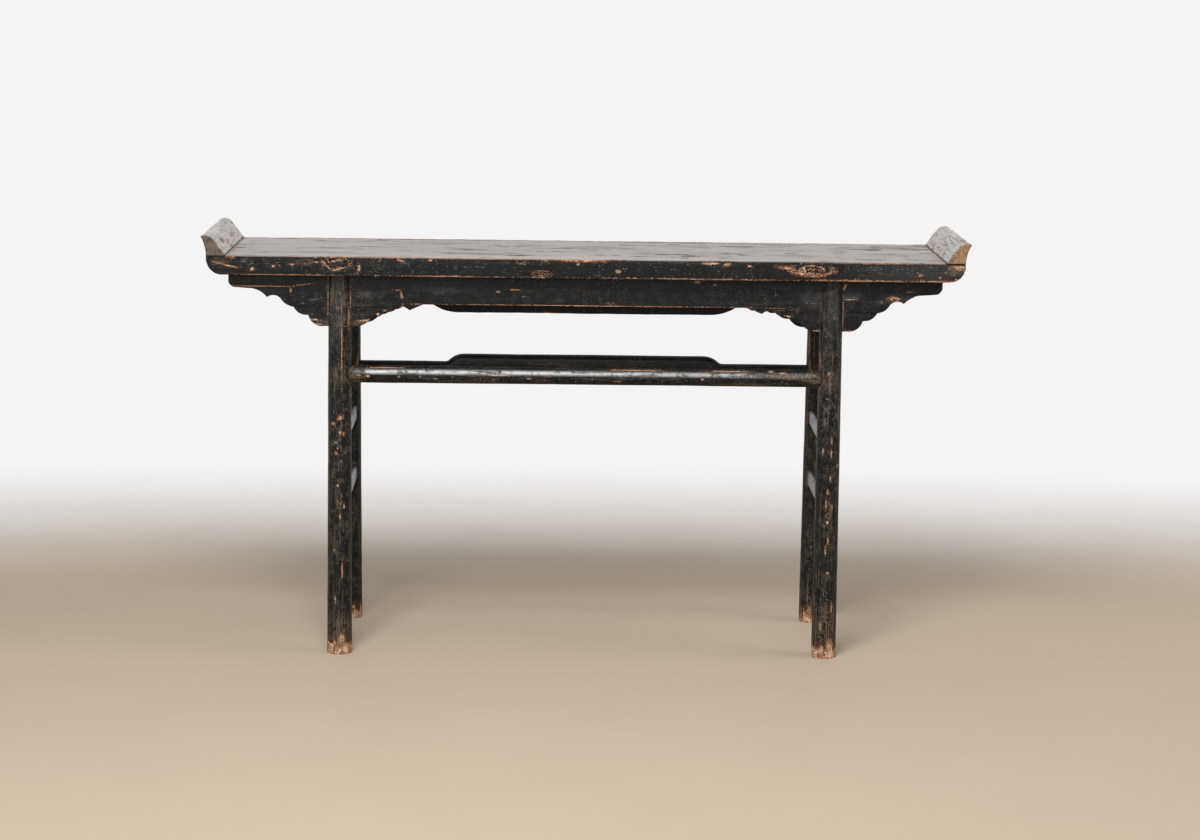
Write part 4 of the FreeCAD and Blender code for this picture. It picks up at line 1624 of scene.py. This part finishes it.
@dataclass
class Aprons(SubAssembly):
    """The front and back aprons with their carved spandrels."""

    board_spacing: Point = (0.010, 0.0, 0.010)
    spandrel_spacing: Point = (0.005, 0.0, 0.005)
    spandrel_arris: float = 0.8 * MM

    def pieces(self) -> tuple[WornPiece, ...]:
        """Two boards and four spandrels.

        Returns:
            The pieces, in the order that they are made.
        """
        boards = [WornPiece(f"{row.value}_apron", self.board_spacing) for row in Row]
        spandrels = [
            WornPiece(
                f"{row.value}_{side.value}_spandrel", self.spandrel_spacing, arris=self.spandrel_arris
            )
            for row in Row
            for side in Side
        ]
        return (*boards, *spandrels)

    def finish(self) -> WornLacquer:
        """Black lacquer, rubbed along its cut edges.

        Returns:
            The finish.
        """
        return WornLacquer(
            "apron_lacquer_worn",
            Axis.X,
            both_sides(APRON_MARKS),
            edge_wear=0.62,
            chips=0.85,
            ridges=0.12,
            specks=0.3,
            joint_dust=0.2,
            lacquer=LacquerColours(film=(0.0190, 0.0195, 0.0185), undercoat=(0.045, 0.022, 0.014)),
        )


@dataclass
class Legs(SubAssembly):
    """The four turned legs, splayed from front to back."""

    spacing: Point = (0.0, 0.0, 0.010)

    def pieces(self) -> tuple[WornPiece, ...]:
        """Four legs.

        Returns:
            The pieces, in the order that they are made.
        """
        return tuple(
            WornPiece(f"{row.value}_{side.value}_leg", self.spacing, dusty_against="stretcher")
            for row in Row
            for side in Side
        )

    def finish(self) -> WornLacquer:
        """Black lacquer that has shrunk into fine upright lines and worn off the feet.

        Returns:
            The finish.
        """
        return WornLacquer(
            "leg_lacquer_worn",
            Axis.Z,
            both_sides(LEFT_LEG_MARKS + RIGHT_LEG_MARKS) + BACK_LEG_MARKS,
            foot_wear=0.72,
            fineness=2.0,
            cracks=0.8,
            ridges=0.8,
            chips=0.55,
            lacquer=LacquerColours(film=(0.046, 0.041, 0.032), ridge=(0.120, 0.088, 0.062)),
        )


@dataclass
class FrontRail(SubAssembly):
    """The round stretcher at the front, kept bright by feet and hands."""

    spacing: Point = (0.010, 0.0, 0.0)

    def pieces(self) -> tuple[WornPiece, ...]:
        """The rail alone."""
        return (WornPiece("front_stretcher", self.spacing),)

    def finish(self) -> WornLacquer:
        """Black lacquer, polished along the upper half of the round.

        Returns:
            The finish.
        """
        return WornLacquer(
            "front_rail_lacquer_worn",
            Axis.X,
            both_sides(RAIL_MARKS),
            cracks=0.6,
            gloss=1.0,
            gloss_on_round=True,
            coat_roughness=0.44,
            coat_ior=2.3,
            chips=0.8,
            ridges=0.5,
        )


@dataclass
class BackRail(SubAssembly):
    """The humpbacked stretcher behind."""

    spacing: Point = (0.010, 0.0, 0.0)

    def pieces(self) -> tuple[WornPiece, ...]:
        """The rail alone."""
        return (WornPiece("back_stretcher", self.spacing),)

    def finish(self) -> WornLacquer:
        """Black lacquer, rubbed to a reddish brown in places.

        Returns:
            The finish.
        """
        return WornLacquer(
            "back_rail_lacquer_worn", Axis.X, both_sides(BACK_RAIL_MARKS), gloss=0.1, ridges=0.4, specks=0.4
        )


@dataclass
class SideRails(SubAssembly):
    """The two short rails between the legs of each side."""

    spacing: Point = (0.0, 0.010, 0.0)

    def pieces(self) -> tuple[WornPiece, ...]:
        """Four rails.

        Returns:
            The pieces, in the order that they are made.
        """
        return tuple(
            WornPiece(f"{side.value}_{level}_side_stretcher", self.spacing)
            for side in Side
            for level in ("upper", "lower")
        )

    def finish(self) -> WornLacquer:
        """Black lacquer, dusty at the joints."""
        return WornLacquer("side_rail_lacquer_worn", Axis.Y, gloss=0.6, ridges=0.5, joint_dust=0.9)


@dataclass
class Battens(SubAssembly):
    """The two dovetailed battens under the plank."""

    slot: Slot = Slot.ELM
    spacing: Point = (0.0, 0.010, 0.0)

    def pieces(self) -> tuple[WornPiece, ...]:
        """Two battens."""
        return tuple(WornPiece(f"{side.value}_batten", self.spacing) for side in Side)

    def finish(self) -> BareElm:
        """Elm that was never lacquered."""
        return BareElm("batten_elm", Axis.Y)


def main() -> None:
    """Builds the camera, the studio and the table."""
    logging.basicConfig(level=logging.INFO, format="%(message)s")
    PhotoCamera().set_up()
    Studio().set_up()
    assemblies = (
        Plank(),
        Flange(side=Side.LEFT, spots=LEFT_FLANGE_MARKS),
        Flange(side=Side.RIGHT, end_grain=(0.36, 0.225, 0.130), spots=RIGHT_FLANGE_MARKS),
        Aprons(),
        Legs(),
        FrontRail(),
        BackRail(),
        SideRails(),
        Battens(),
    )
    for assembly in assemblies:
        for piece in assembly.build():
            LOG.info("%s is in place", piece.name)


if __name__ == "__main__":
    main()
